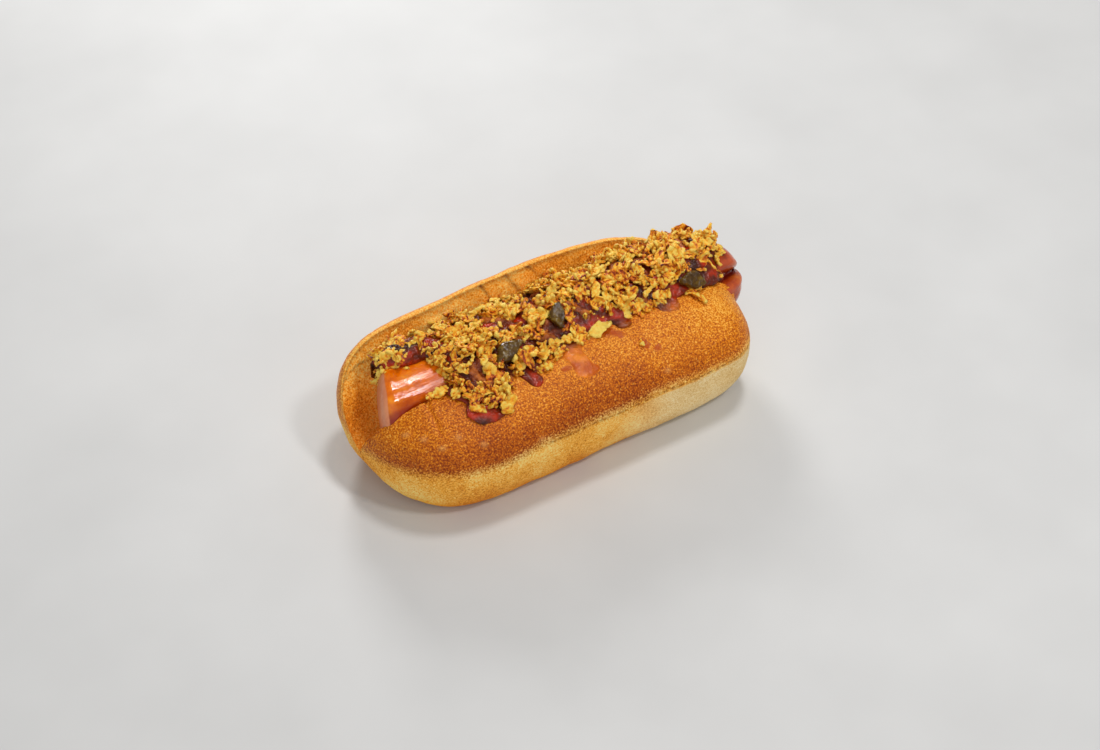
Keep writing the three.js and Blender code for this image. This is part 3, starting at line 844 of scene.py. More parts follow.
# %% [markdown]
# Chunks of pickle show among the onion. A chunk is a thick half slice with a scalloped edge, round on one
# side and flatter on the side that was cut: rings from its top to its underside, closed by rings that
# shrink to its middle. A helper lays any small piece drawn about the origin on the heap or the crust,
# facing out of it.

# %% Pickles
# Along the roll, across the heap from its back, turned by, and size.
PICKLES = dict(
    pickle_left=(-17, 0.84, 0.3, 1),
    pickle_middle=(6, 0.74, 1.2, 0.85),
    pickle_right=(57, 0.97, -0.2, 1),
)
PICKLE = dict(length=11, width=8, thick=3, flat_side=0.45, lift=1)


def heap_frame(x, across):
    """A place on the heap, and the way out there."""
    at = heap_point(x, across)
    along = heap_point(x + 1, across) - at
    over = heap_point(x, max(0, across - 0.05)) - heap_point(x, min(1, across + 0.05))
    return at, Vector(np.cross(along, over)).normalized()


def turned(rings, yaw):
    c, s = math.cos(yaw), math.sin(yaw)
    return rings @ np.array([[c, s, 0], [-s, c, 0], [0, 0, 1]])


def laid(rings, place, lift):
    at, out = place
    turn = np.array(Vector((0, 0, 1)).rotation_difference(out).to_matrix())
    return rings @ turn.T + at + np.array(out) * lift


def pickle_rings(across, size):
    height = np.linspace(-0.5, 0.5, 15)[::-1, None]
    inset = np.clip(1 - np.abs(2 * height) ** 3.5 * 0.2, 0, 1)
    angle = (2 * np.pi * np.arange(72) / 72)[None, :]
    scallop = inset * (1 + 0.1 * np.cos(angle * 4) + 0.02 * np.cos(angle * 13))
    cut_side = np.where(np.sin(angle) < 0, PICKLE["flat_side"], 1)
    rings = np.stack([
        PICKLE["length"] / 2 * scallop * np.cos(angle),
        PICKLE["width"] / 2 * scallop * cut_side * np.sin(angle),
        PICKLE["thick"] * height + 0 * angle,
    ], -1) * size
    shrink = np.linspace(1, 0.02, 9)[1:, None, None] * np.array([1, 1, 0]) + np.array([0, 0, 1])
    rings = np.concatenate([rings[:1] * shrink[::-1], rings, rings[-1:] * shrink])
    return rings + outward(rings) * (0.25 * noise(rings + 40 * across, 2.4, 61))[..., None]


pickles = {}
for name, (x, across, yaw, size) in PICKLES.items():
    rings = laid(turned(pickle_rings(across, size), yaw), heap_frame(x, across), PICKLE["lift"])
    pickles[name] = skin(name + "_chunk", rings + SHIFT)

# %% [markdown]
# The fried onion is a heap of hundreds of curled crumbs, some large, most small. Underneath lies a core
# of onion that soaked up sauce, a closed skin with a lumpy top, so that no gap between the loose pieces
# looks empty. How high each point of it stands is written down, since its hollows are the darkest.

# %% Onion core
CORE_SINK = 2  # mm under the heap's own top


def core_rings(count, steps):
    x = np.linspace(HEAP["left"], HEAP["right"], count)[:, None]
    top = heap_point(x, np.linspace(0, 1, steps)[None, :])
    top[..., 2] -= CORE_SINK
    under = np.linspace(0, 1, 10)[None, 1:-1, None]
    low = mix(top[:, -1:], top[:, :1], under)
    low[..., 2] = HEAP["bottom"]
    return np.concatenate([top, low], 1)


rings = core_rings(260, 80)
lumps = 0.9 * noise(rings, 3.6, 71) + 0.45 * noise(rings, 1.7, 72)
rings = rings + outward(rings) * (lumps * np.where(rings[..., 2] > HEAP["bottom"] + 0.5, 1, 0))[..., None]
core = skin("onion_core", rings + SHIFT, dict(lump=np.clip(lumps * 0.5 + 0.5, 0, 1)))

# %% [markdown]
# Modelling each crumb by hand would take a week, so some dozens of shapes are made and scattered later:
# long shreds, flat flakes and small crumbs. Each is a skin along a strip of onion with ragged edges, fried
# in batter that bubbled, then twisted and curled. How far a point stands out of the batter is kept as a
# value, with which the material paints the bubbles' tips lighter, as a painted highlight, and the hollows
# between them darker, as painted shade.

# %% Onion shapes
# For each kind: ranges of sizes in mm and of curl, and how many rings, sides and shapes it has.
KINDS = dict(
    shred=(dict(long=(6, 11), wide=(1.5, 2.7), thick=(0.5, 0.8), curl=(-1.2, 1.8)), 20, 12, 14),
    flake=(dict(long=(3, 6.5), wide=(2, 4), thick=(0.5, 0.8), curl=(-0.8, 1.9)), 14, 16, 26),
    crumb=(dict(long=(1.3, 3.2), wide=(0.9, 1.9), thick=(0.5, 1), curl=(-0.6, 1.2)), 7, 8, 20),
)
BATTER = dict(size=1.5, height=0.42)  # the bubbles in the crisp batter, in mm
LEAST_CURL = 0.1


def crisp_rings(random, long, wide, thick, curl, rings, sides):
    """A strip in bubbly batter, bent along its length, and how high each point stands in the batter."""
    s = np.linspace(-0.97, 0.97, rings)[:, None]
    turn = (2 * np.pi * np.arange(sides) / sides)[None, :]
    full = (1 - np.abs(s) ** random.uniform(2, 5)) ** 0.5
    spot = random.uniform(0, 90, 3)
    edge = np.stack(np.broadcast_arrays(s * long / 2, 3.0 * np.sign(np.cos(turn)), 0.0), -1) + spot
    across = wide / 2 * full * np.cos(turn) * (1 + 0.45 * noise(edge, 2.2, 94))
    up = thick / 2 * (0.4 + 0.6 * full) * np.sin(turn) + random.uniform(-0.3, 0.9) * across**2 / wide
    points = np.stack([long / 2 * s + 0 * turn, across, up], -1)
    bubbles = 1.9 * np.abs(noise(points + spot, BATTER["size"], 91))
    batter = bubbles + 0.8 * noise(points + spot, 0.8, 92) - 0.45
    points = points + outward(points) * BATTER["height"] * batter[..., None]
    points[..., 1] += random.uniform(-0.12, 0.12) * long * s**2
    twist = random.uniform(-0.9, 0.9) * s
    y, z = points[..., 1], points[..., 2]
    y, z = y * np.cos(twist) - z * np.sin(twist), y * np.sin(twist) + z * np.cos(twist)
    bow = curl if abs(curl) > LEAST_CURL else LEAST_CURL
    angle = bow * points[..., 0] / (long / 2)
    reach = long / 2 / bow
    x = (reach - z) * np.sin(angle)
    z = reach - (reach - z) * np.cos(angle)
    # The batter's height, which the material turns into painted highlight and painted shade.
    return np.stack([x, y, z], -1), np.clip(0.4 + 0.6 * batter, 0, 1)


def loose(name, rings, **values):
    """A skin that isn't shown itself."""
    piece = skin(name, rings, values)
    bpy.context.scene.collection.objects.unlink(piece)
    return piece


def shape_set(kind, seed):
    """A collection of shapes of one kind, for the scattering to pick from."""
    random = np.random.default_rng(seed)
    shapes = bpy.data.collections.new(kind + "_shapes")
    ranges, ring_count, sides, shape_count = KINDS[kind]
    for n in range(shape_count):
        sizes = {key: random.uniform(*limits) for key, limits in ranges.items()}
        rings, batter = crisp_rings(random, **sizes, rings=ring_count, sides=sides)
        shapes.objects.link(loose(f"{kind}_{n}", rings, batter=batter))
    return shapes


print("kinds of onion:", {kind: rule[-1] for kind, rule in KINDS.items()})

# %% [markdown]
# Both Geometry Nodes and shaders are graphs, so a few helpers write them down briefly: one adds a node
# with its inputs, given as values or as the sockets that feed them, and others wrap the kinds that come
# up again and again. Colours are written as a photograph's numbers, which are easy to compare.

# %% Node helpers
def srgb(r, g, b):
    """A colour as a photograph's numbers give it, turned linear for Blender."""
    return tuple(c / 255 / 12.92 if c <= 10 else ((c / 255 + 0.055) / 1.055) ** 2.4 for c in (r, g, b)) + (1,)


def feed(tree, socket, value):
    if isinstance(value, bpy.types.NodeSocket):
        tree.links.new(value, socket)
    else:
        socket.default_value = value


def add(tree, kind, inputs=None, **settings):
    """A node with its settings, and its inputs given as values or as the sockets that feed them."""
    node = tree.nodes.new(kind)
    for key, value in settings.items():
        setattr(node, key, value)
    for key, value in (inputs or {}).items():
        feed(tree, node.inputs[key], value)
    return node


def maths(tree, operation, *values):
    return add(tree, "ShaderNodeMath", dict(enumerate(values)), operation=operation).outputs[0]


def weighed(tree, start, *parts):
    """The start plus each part times its weight."""
    for value, weight in parts:
        start = maths(tree, "MULTIPLY_ADD", value, weight, start)
    return start


def vector_maths(tree, operation, inputs):
    return add(tree, "ShaderNodeVectorMath", inputs, operation=operation).outputs[0]


print("a photograph's white is", srgb(255, 255, 255), "and its middle grey", round(srgb(128, 128, 128)[0], 3))

# %% [markdown]
# Real onion is strewn over the heap by hand, and Geometry Nodes strew it here. Points are spread over a
# surface as thickly as its "cover" value says. At each point lies a shape from the collection, turned to
# face out of the surface and then turned and tilted at random, lifted a little, and scaled. Every random
# draw comes from one seed, so the heap is the same at each run, and it ends as one real mesh.

# %% Scattering
# The inputs of the tree: the kind of each socket and its value where none is given.
SCATTER_INPUTS = dict(
    Geometry=("NodeSocketGeometry", None),
    Shapes=("NodeSocketCollection", None),
    Finish=("NodeSocketMaterial", None),
    Density=("NodeSocketFloat", 1.0),
    Tilt=("NodeSocketFloat", 0.5),
    Smallest=("NodeSocketFloat", 0.7),
    Largest=("NodeSocketFloat", 1.2),
    Lowest=("NodeSocketFloat", 0.0),
    Highest=("NodeSocketFloat", 0.001),
    Seed=("NodeSocketInt", 0),
)


def scatter_tree(name):
    """Geometry Nodes that lay random shapes from a collection over a surface, out of it and turned."""
    tree = bpy.data.node_groups.new(name, "GeometryNodeTree")
    tree.is_modifier = True
    tree.interface.new_socket("Geometry", in_out="OUTPUT", socket_type="NodeSocketGeometry")
    identifiers = {}
    for label, (kind, value) in SCATTER_INPUTS.items():
        socket = tree.interface.new_socket(label, in_out="INPUT", socket_type=kind)
        if value is not None:
            socket.default_value = value
        identifiers[label] = socket.identifier
    start = add(tree, "NodeGroupInput").outputs

    def random(low, high, offset):
        seed = maths(tree, "ADD", start["Seed"], offset)
        draw = add(tree, "FunctionNodeRandomValue", {"Seed": seed}, data_type="FLOAT")
        live = [socket for socket in draw.inputs if socket.enabled]
        for socket, value in zip(live, (low, high)):
            feed(tree, socket, value)
        return next(socket for socket in draw.outputs if socket.enabled)

    cover = add(tree, "GeometryNodeInputNamedAttribute", {"Name": "cover"}, data_type="FLOAT")
    density = maths(tree, "MULTIPLY", cover.outputs["Attribute"], start["Density"])
    spread = add(
        tree,
        "GeometryNodeDistributePointsOnFaces",
        {"Mesh": start["Geometry"], "Density": density, "Seed": start["Seed"]},
    ).outputs
    height = random(start["Lowest"], start["Highest"], 11)
    lift = vector_maths(tree, "SCALE", {0: spread["Normal"], "Scale": height})
    place = add(tree, "GeometryNodeSetPosition", {"Geometry": spread["Points"], "Offset": lift})

    tilt_back = maths(tree, "MULTIPLY", start["Tilt"], -1)
    turn = add(tree, "ShaderNodeCombineXYZ", {
        "X": random(tilt_back, start["Tilt"], 23),
        "Y": random(tilt_back, start["Tilt"], 37),
        "Z": random(0.0, 2 * math.pi, 41),
    })
    own = add(tree, "FunctionNodeEulerToRotation", {0: turn.outputs[0]})
    facing = add(
        tree,
        "FunctionNodeRotateRotation",
        {"Rotation": spread["Rotation"], "Rotate By": own.outputs[0]},
        rotation_space="LOCAL",
    )
    pick = add(
        tree,
        "GeometryNodeCollectionInfo",
        {"Collection": start["Shapes"], "Separate Children": True, "Reset Children": True},
    )
    lay = add(tree, "GeometryNodeInstanceOnPoints", {
        "Points": place.outputs[0],
        "Instance": pick.outputs[0],
        "Pick Instance": True,
        "Rotation": facing.outputs[0],
        "Scale": random(start["Smallest"], start["Largest"], 53),
    })
    tone = add(
        tree,
        "GeometryNodeStoreNamedAttribute",
        {"Geometry": lay.outputs[0], "Name": "tone"},
        domain="INSTANCE",
        data_type="FLOAT",
    )
    tree.links.new(random(0.0, 1.0, 67), tone.inputs["Value"])
    whole = add(tree, "GeometryNodeRealizeInstances", {0: tone.outputs[0]})
    dressed = add(
        tree,
        "GeometryNodeSetMaterial",
        {"Geometry": whole.outputs[0], "Material": start["Finish"]},
    )
    add(tree, "NodeGroupOutput", {0: dressed.outputs[0]})
    return tree, identifiers


SCATTER, SOCKETS = scatter_tree("lay_shapes_on_a_surface")


def scattered(name, surface, kind, seed, **inputs):
    """A piece of loose shapes laid over a surface, which is left as it was."""
    piece = bpy.data.objects.new(name, surface.data)
    bpy.context.scene.collection.objects.link(piece)
    modifier = piece.modifiers.new("scatter", "NODES")
    modifier.node_group = SCATTER
    shapes = shape_set(kind, seed)
    for label, value in dict(Shapes=shapes, Finish=onion_finish, Seed=seed, **inputs).items():
        modifier[SOCKETS[label]] = value
    ready = plain(piece, name)
    for shape in list(shapes.objects):
        bpy.data.objects.remove(shape)
    bpy.data.collections.remove(shapes)
    return ready


print("inputs of the scattering:", list(SOCKETS))

# %% [markdown]
# Materials are written with the same helpers, and a few more: a ramp of colours, layers of paint over one
# another through masks, noise in real millimetres, and a group that a material can call. Every finish
# gives its shader a colour, a roughness and, from a height, a normal.

# %% Shader helpers
def ramp(tree, value, *stops):
    """A colour for each value. A stop is its place and the photograph's numbers there."""
    node = add(tree, "ShaderNodeValToRGB", {"Fac": value})
    elements = node.color_ramp.elements
    while len(elements) < len(stops):
        elements.new(0.5)
    for element, (place, *colour) in zip(elements, stops):
        element.position = place
        element.color = srgb(*colour)
    return node.outputs["Color"]


def attribute(tree, name):
    return add(tree, "ShaderNodeAttribute", attribute_name=name).outputs["Fac"]


def painted(tree, colour, *layers):
    """The colour with others laid over it. A layer is a mask or its name, its strength and its paint."""
    for mask, strength, paint in layers:
        mask = attribute(tree, mask) if isinstance(mask, str) else mask
        paint = srgb(*paint) if isinstance(paint, tuple) else paint
        share = maths(tree, "MULTIPLY", mask, strength)
        colour = add(tree, "ShaderNodeMix", {0: share, 6: colour, 7: paint}, data_type="RGBA").outputs[2]
    return colour


def mapped(tree, value, low, high, first=0.0, last=1.0):
    return add(tree, "ShaderNodeMapRange", {0: value, 1: low, 2: high, 3: first, 4: last}).outputs[0]


def in_mm(tree):
    """The place on the object, in millimetres."""
    place = add(tree, "ShaderNodeTexCoord").outputs["Object"]
    return vector_maths(tree, "SCALE", {0: place, "Scale": 1 / MM})


def cloud(tree, place, size, detail=2.0, roughness=0.5):
    """Noise whose patches are about as wide as size, which may be a socket, in mm."""
    scale = maths(tree, "DIVIDE", 1.0, size)
    inputs = {"Vector": place, "Scale": scale, "Detail": detail, "Roughness": roughness}
    return add(tree, "ShaderNodeTexNoise", inputs).outputs["Fac"]


def cells(tree, place, size, **settings):
    """How far each point is from the middle of its cell."""
    inputs = {"Vector": place, "Scale": maths(tree, "DIVIDE", 1.0, size)}
    return add(tree, "ShaderNodeTexVoronoi", inputs, **settings).outputs["Distance"]


def group(name, **inputs):
    """A shader node group with named inputs: its tree, its inputs and a way to give its results."""
    tree = bpy.data.node_groups.new(name, "ShaderNodeTree")
    for label, value in inputs.items():
        label = label.replace("_", " ")
        tree.interface.new_socket(label, in_out="INPUT", socket_type="NodeSocketFloat").default_value = value
    given = add(tree, "NodeGroupInput").outputs

    def give(**results):
        for label in results:
            tree.interface.new_socket(label, in_out="OUTPUT", socket_type="NodeSocketFloat")
        add(tree, "NodeGroupOutput", results)

    return tree, given, give


def effect(tree, made, **values):
    node = add(tree, "ShaderNodeGroup", node_tree=made)
    for label, value in values.items():
        node.inputs[label.replace("_", " ")].default_value = value
    return node.outputs


def finish(name, **settings):
    """A new material: its tree and its main shader, with the values that are the same all over."""
    material = bpy.data.materials.new(name)
    material.use_nodes = True
    shader = material.node_tree.nodes["Principled BSDF"]
    for label, value in settings.items():
        shader.inputs[label.replace("_", " ")].default_value = value
    return material, material.node_tree, shader


def wire(tree, shader, height=None, depth=0.0, **inputs):
    """Feeds the shader, and its normal from a height in mm."""
    for label, socket in inputs.items():
        tree.links.new(socket, shader.inputs[label.replace("_", " ")])
    if height is not None:
        bump = add(tree, "ShaderNodeBump", {"Height": height, "Distance": depth * MM})
        tree.links.new(bump.outputs["Normal"], shader.inputs["Normal"])


print("finishes so far:", [material.name for material in bpy.data.materials])

# %% [markdown]
# Food is never one colour: crust is freckled where small bubbles browned first, crumb is full of pores,
# and anything wet shows ripples in its shine. Two effects serve all the finishes, each a node group built
# once. They give out masks and heights alone, and each material decides what these mean.

# %% Shared effects
def freckles():
    """Browning: broad patches, small freckles and pale pinpricks, and a fine grain."""
    tree, given, give = group("freckles", Patch_size=14.0, Freckle_size=0.8, Pinprick_size=1.1)
    place = in_mm(tree)
    dots = cells(tree, place, given["Pinprick size"], feature="F1")
    dots = weighed(tree, dots, (cloud(tree, place, 2.5, detail=1.0), 0.55))
    give(
        Patches=cloud(tree, place, given["Patch size"], detail=3.0),
        Freckles=cloud(tree, place, given["Freckle size"], detail=3.0, roughness=0.6),
        Pinpricks=mapped(tree, dots, 0.4, 0.54, first=1.0, last=0.0),
        Grain=cloud(tree, place, 0.22),
    )
    return tree


def pores():
    """Crumb: round pores of two sizes with walls between them."""
    tree, given, give = group("pores", Size=1.6)
    place = in_mm(tree)
    wavy = add(tree, "ShaderNodeTexNoise", {"Vector": place, "Scale": 0.6}).outputs["Color"]
    wavy = vector_maths(tree, "SCALE", {0: wavy, "Scale": 1.2})
    place = vector_maths(tree, "ADD", {0: place, 1: wavy})
    large = cells(tree, place, given["Size"], feature="SMOOTH_F1")
    small = cells(tree, place, maths(tree, "MULTIPLY", given["Size"], 0.42), feature="SMOOTH_F1")
    height = weighed(tree, 0.0, (large, 0.8), (small, 0.4))
    give(Holes=mapped(tree, height, 0.2, 0.5, first=1.0, last=0.0), Height=height)
    return tree


FRECKLES, PORES = freckles(), pores()
print("effects:", FRECKLES.name, PORES.name)

# %% [markdown]
# The bread's finish starts from the crust, whose ramp runs from deep brown to gold, and lays the other
# kinds of surface over it one by one: the pale wall, the creamy torn wall, the warm foot, the toasted cut
# face with its pores, griddle marks, the crease and the stains. The edge between crust and wall is broken
# up by the same freckles that brown the crust. Crust is a little shiny, crumb and pale wall are matt.

# %% Bread finish
def bread_material():
    material, tree, shader = finish("baked_bread", Specular_IOR_Level=0.18)
    marks = effect(tree, FRECKLES, Patch_size=16.0, Freckle_size=0.6, Pinprick_size=1.2)
    holes = effect(tree, PORES, Size=1.6)
    patches, specks = marks["Patches"], marks["Freckles"]
    browning = weighed(tree, -1.45, (patches, 0.5), (specks, 2.4))
    tone = weighed(tree, browning, (attribute(tree, "tone"), 1))
    crust = ramp(
        tree,
        tone,
        (0.0, 124, 46, 4),
        (0.25, 168, 76, 6),
        (0.5, 198, 102, 10),
        (0.75, 232, 138, 14),
        (1.0, 250, 186, 76),
    )
    crust = painted(tree, crust, (marks["Pinpricks"], 0.5, (246, 172, 70)), ("blister", 0.42, (232, 168, 96)))
    paleness = weighed(tree, -1.45, (patches, 1.5), (specks, 2.4))
    pale = ramp(tree, paleness, (0.0, 208, 120, 20), (0.5, 254, 182, 66), (1.0, 255, 230, 142))
    foot = ramp(tree, paleness, (0.0, 200, 100, 2), (0.5, 244, 150, 14), (1.0, 255, 198, 60))
    cream = ramp(tree, paleness, (0.0, 216, 170, 96), (0.5, 240, 206, 142), (1.0, 252, 232, 184))
    toast = ramp(tree, tone, (0.0, 192, 98, 10), (0.45, 250, 156, 32), (1.0, 255, 214, 116))
    # Painted shade: the crumb's pores are painted darker.
    toast = painted(tree, toast, (holes["Holes"], 0.3, (190, 108, 28)))
    edge = weighed(tree, attribute(tree, "drop"), (browning, 0.5))
    colour = painted(
        tree,
        crust,
        (mapped(tree, edge, 0.2, 0.85), 1, pale),
        ("cream", 1, cream),
        ("foot", 1, foot),
        ("cut", 1, toast),
        ("scorch", 1, (96, 46, 14)),
        # The crease is painted darker brown: partly the torn crust's own colour, partly painted shade in its
        # groove.
        ("crease", 0.8, (128, 70, 24)),
        ("stain", 0.8, (176, 66, 8)),
    )
    crumb = maths(tree, "MULTIPLY", holes["Height"], attribute(tree, "cut"))
    height = weighed(tree, crumb, (marks["Grain"], 0.25), (specks, 0.45))
    matt = maths(tree, "MAXIMUM", attribute(tree, "drop"), attribute(tree, "cut"))
    soft = weighed(tree, 0.42, (matt, 0.3), (attribute(tree, "stain"), -0.25))
    wire(tree, shader, height, depth=0.35, Base_Color=colour, Roughness=soft)
    return material


bread.data.materials.append(bread_material())
print("bread wears", bread.data.materials[0].name)

# %% [markdown]
# Sausage, sauce and pickle are wet, so each is glossy, with shallow ripples to break the gleam. The
# sausage's skin is orange-brown, painted darker low on its front side as painted shade, glazed red-brown
# at the right, and pale where the bare meat shows. Sauce is dark red where it is deep and amber where it
# ran thin. Pickle is a dark olive with lighter flesh.

# %% Sausage, sauce and pickle finishes
def sausage_material():
    material, tree, shader = finish("smoked_skin", Specular_IOR_Level=0.4)
    marks = effect(tree, FRECKLES, Patch_size=9.0, Freckle_size=1.5, Pinprick_size=1.8)
    tone = weighed(tree, 0.0, (marks["Patches"], 0.65), (marks["Freckles"], 0.35))
    # The skin is painted darker low on its front side, which is painted shade.
    colour = painted(
        tree,
        ramp(tree, tone, (0.3, 186, 68, 1), (0.5, 230, 110, 2), (0.7, 252, 152, 10)),
        ("low", 1, (140, 32, 2)),
        ("glaze", 1, ramp(tree, tone, (0.3, 106, 26, 1), (0.5, 176, 66, 5), (0.7, 224, 122, 20))),
        ("bare", 1, ramp(tree, tone, (0.3, 204, 108, 66), (0.7, 234, 156, 112))),
        ("lips", 0.6, (196, 92, 60)),
        ("slit", 1, (120, 22, 10)),
    )
    stretched = vector_maths(tree, "MULTIPLY", {0: in_mm(tree), 1: (0.16, 1, 1)})
    height = weighed(tree, cloud(tree, stretched, 1.3, roughness=0.6), (marks["Freckles"], 0.35))
    soft = weighed(tree, 0.05, (attribute(tree, "bare"), 0.3), (attribute(tree, "dry"), 0.22))
    wire(tree, shader, height, depth=0.16, Base_Color=colour, Roughness=soft)
    return material


def sauce_material():
    material, tree, shader = finish("wet_sauce", Specular_IOR_Level=0.36)
    marks = effect(tree, FRECKLES, Patch_size=5.0, Freckle_size=1.4, Pinprick_size=2.6)
    patches, specks = marks["Patches"], marks["Freckles"]
    deep = ramp(tree, patches, (0.35, 62, 20, 5), (0.5, 114, 34, 9), (0.65, 184, 46, 12))
    thin = ramp(tree, patches, (0.35, 196, 86, 6), (0.65, 252, 146, 24))
    colour = painted(tree, deep, ("amber", 1, thin))
    height = weighed(tree, patches, (specks, 0.6))
    soft = weighed(tree, 0.06, (specks, 0.12))
    wire(tree, shader, height, depth=1.2, Base_Color=colour, Roughness=soft)
    return material


def pickle_material():
    material, tree, shader = finish("pickle_flesh", Specular_IOR_Level=0.4)
    marks = effect(tree, FRECKLES, Patch_size=3.5, Freckle_size=1.2, Pinprick_size=1.6)
    tone = weighed(tree, 0.0, (marks["Patches"], 0.6), (marks["Freckles"], 0.4))
    colour = ramp(tree, tone, (0.3, 44, 22, 1), (0.5, 84, 56, 6), (0.75, 140, 112, 26))
    soft = weighed(tree, 0.02, (tone, 0.2))
    wire(tree, shader, marks["Patches"], depth=1.6, Base_Color=colour, Roughness=soft)
    return material


sausage.data.materials.append(sausage_material())
sauce.data.materials.append(sauce_material())
pickle_flesh = pickle_material()
for chunk in pickles.values():
    chunk.data.materials.append(pickle_flesh)
print("finishes:", [material.name for material in bpy.data.materials])

# %% [markdown]
# Fried onion is painted from dark red-brown in its hollows, which is painted shade, to bright yellow on
# the bubbles' tips, which is a painted highlight. Each scattered piece has a tone of its own, as some
# were fried longer, and the batter's height, patches and freckles vary it. The core under them wears the
# colours of onion that soaked up sauce.

# %% Onion finishes
def onion_material():
    material, tree, shader = finish("crisp_onion", Specular_IOR_Level=0.45)
    marks = effect(tree, FRECKLES, Patch_size=4.0, Freckle_size=0.7, Pinprick_size=0.9)
    # The batter's height paints the bubbles' tips lighter and the hollows darker: painted highlight and
    # painted shade.
    tone = weighed(
        tree,
        -0.83,
        (attribute(tree, "tone"), 0.6),
        (marks["Patches"], 0.6),
        (attribute(tree, "batter"), 0.9),
        (marks["Freckles"], 0.8),
    )
    colour = ramp(
        tree,
        tone,
        (0.0, 96, 20, 2),
        (0.2, 178, 68, 6),
        (0.38, 240, 136, 14),
        (0.6, 255, 186, 36),
        (1.0, 255, 220, 98),
    )
    height = weighed(tree, marks["Freckles"], (marks["Grain"], 0.5))
    soft = weighed(tree, 0.16, (marks["Patches"], 0.4))
    wire(tree, shader, height, depth=0.5, Base_Color=colour, Roughness=soft)
    return material


def core_material():
    material, tree, shader = finish("soaked_onion", Specular_IOR_Level=0.4)
    marks = effect(tree, FRECKLES, Patch_size=3.5, Freckle_size=1.1, Pinprick_size=1.5)
    tone = weighed(tree, -0.3, (attribute(tree, "lump"), 1), (marks["Freckles"], 0.6))
    colour = ramp(tree, tone, (0.2, 62, 20, 4), (0.5, 120, 44, 10), (0.85, 192, 104, 30))
    soft = weighed(tree, 0.05, (tone, 0.4))
    wire(tree, shader, marks["Freckles"], depth=0.8, Base_Color=colour, Roughness=soft)
    return material


core.data.materials.append(core_material())
onion_finish = onion_material()
print("onion wears", onion_finish.name, "and", core.data.materials[0].name)

# %% [markdown]
# The loose onion lies on the heap's upper surface, an open sheet with a short skirt at its front where
# the heap stands back from the sausage's end. How thickly it lies there varies: in clumps all over, thick
# at the two ends, thin low on the lobe and where sauce shows between the heap and the crust, and clear of
# the pickles. The sheet itself is removed once the pieces lie on it.

# %% Onion heap
COVER_SINK = 1.7  # mm under the heap's own top
SKIRT = np.stack([0, 0.5, 1.6])  # how far in and down each row of the skirt is from the one before
PICKLE_CLEAR = (1.5, 3)  # mm round a pickle that stay bare, and over which the onion comes back
# For each kind: its seed, how many lie on a square millimetre, the most that it tilts in radians, the
# least and the most that it is lifted in mm, and its largest scale.
STREWN = dict(
    flake=(5, 0.085, 0.7, 0, 1.8, 1.6),
    shred=(6, 0.045, 0.35, 0.6, 2, 1.2),
    crumb=(7, 0.17, 1.5, 0, 1.6, 1.4),
)


def thickness(spots, lip_side):
    """How thickly the onion lies at each spot."""
    along, aside = spots[:, 0], spots[:, 1]
    cover = 0.8 + 2.2 * noise(spots, 7, 81)
    cover += 0.9 * band(along, -52, 9)
    cover += 0.9 * band(along, 45, 6) * smooth((4 - aside) / 8)
    cover -= 0.55 * band(along, -29, 8) * smooth((-4 - aside) / 6)
    cover = np.clip(cover, 0.05, 1.8)
    cover *= 1 - 0.75 * smooth((along - 56) / 5) * smooth((3 - aside) / 5)
    cover *= 1 - 0.85 * smooth((lip_side - 0.78) / 0.14) * band(along, 15, 15)
    for x, across, _, _ in PICKLES.values():
        near = np.linalg.norm(spots - heap_point(x, across), axis=1)
        cover *= smooth((near - PICKLE_CLEAR[0]) / PICKLE_CLEAR[1])
    return cover


def heap_cover(name, count, steps):
    """The heap's upper surface alone, to scatter on."""
    x = np.linspace(HEAP["left"] + 0.5, HEAP["right"] - 0.5, count)[:, None]
    top = heap_point(x, np.linspace(0, 1, steps)[None, :])
    top[..., 2] -= COVER_SINK
    drawn = heap_edges(x[:, :1])[2][..., None]
    skirt = np.repeat(top[:, -1:], 4, 1) - SKIRT * np.arange(1, 5)[:, None] * (1 - drawn)
    top = np.concatenate([top, skirt], 1)
    steps = top.shape[1]
    index = np.arange(count * steps).reshape(count, steps)
    quads = np.stack([index[:-1, :-1], index[1:, :-1], index[1:, 1:], index[:-1, 1:]], -1).reshape(-1, 4)
    mesh = bpy.data.meshes.new(name)
    mesh.from_pydata(((top.reshape(-1, 3) + SHIFT) * MM).tolist(), [], quads.tolist())
    if sum(polygon.normal.z for polygon in mesh.polygons) < 0:
        mesh.flip_normals()
    lip_side = np.tile(np.minimum(np.linspace(0, 1.05, steps), 1), count)
    write_values(mesh, cover=thickness(top.reshape(-1, 3), lip_side))
    return bpy.data.objects.new(name, mesh)


surface = heap_cover("heap_cover", 200, 60)
print("heap surface in mm2:", round(sum(polygon.area for polygon in surface.data.polygons) / MM**2))
onions = [
    scattered(
        f"onion_{kind}s",
        surface,
        kind,
        seed,
        Density=density / MM**2,
        Tilt=tilt,
        Lowest=lowest * MM,
        Highest=highest * MM,
        Largest=largest,
    )
    for kind, (seed, density, tilt, lowest, highest, largest) in STREWN.items()
]
bpy.data.objects.remove(surface)

# %% [markdown]
# Some large flakes lie clear of the heap, on the roll's crust and over its lip, where they fell, and
# others catch the eye on the heap itself. They show one by one, so each is listed: where it lies,
# which way it points and how large it is. One mesh holds them all.

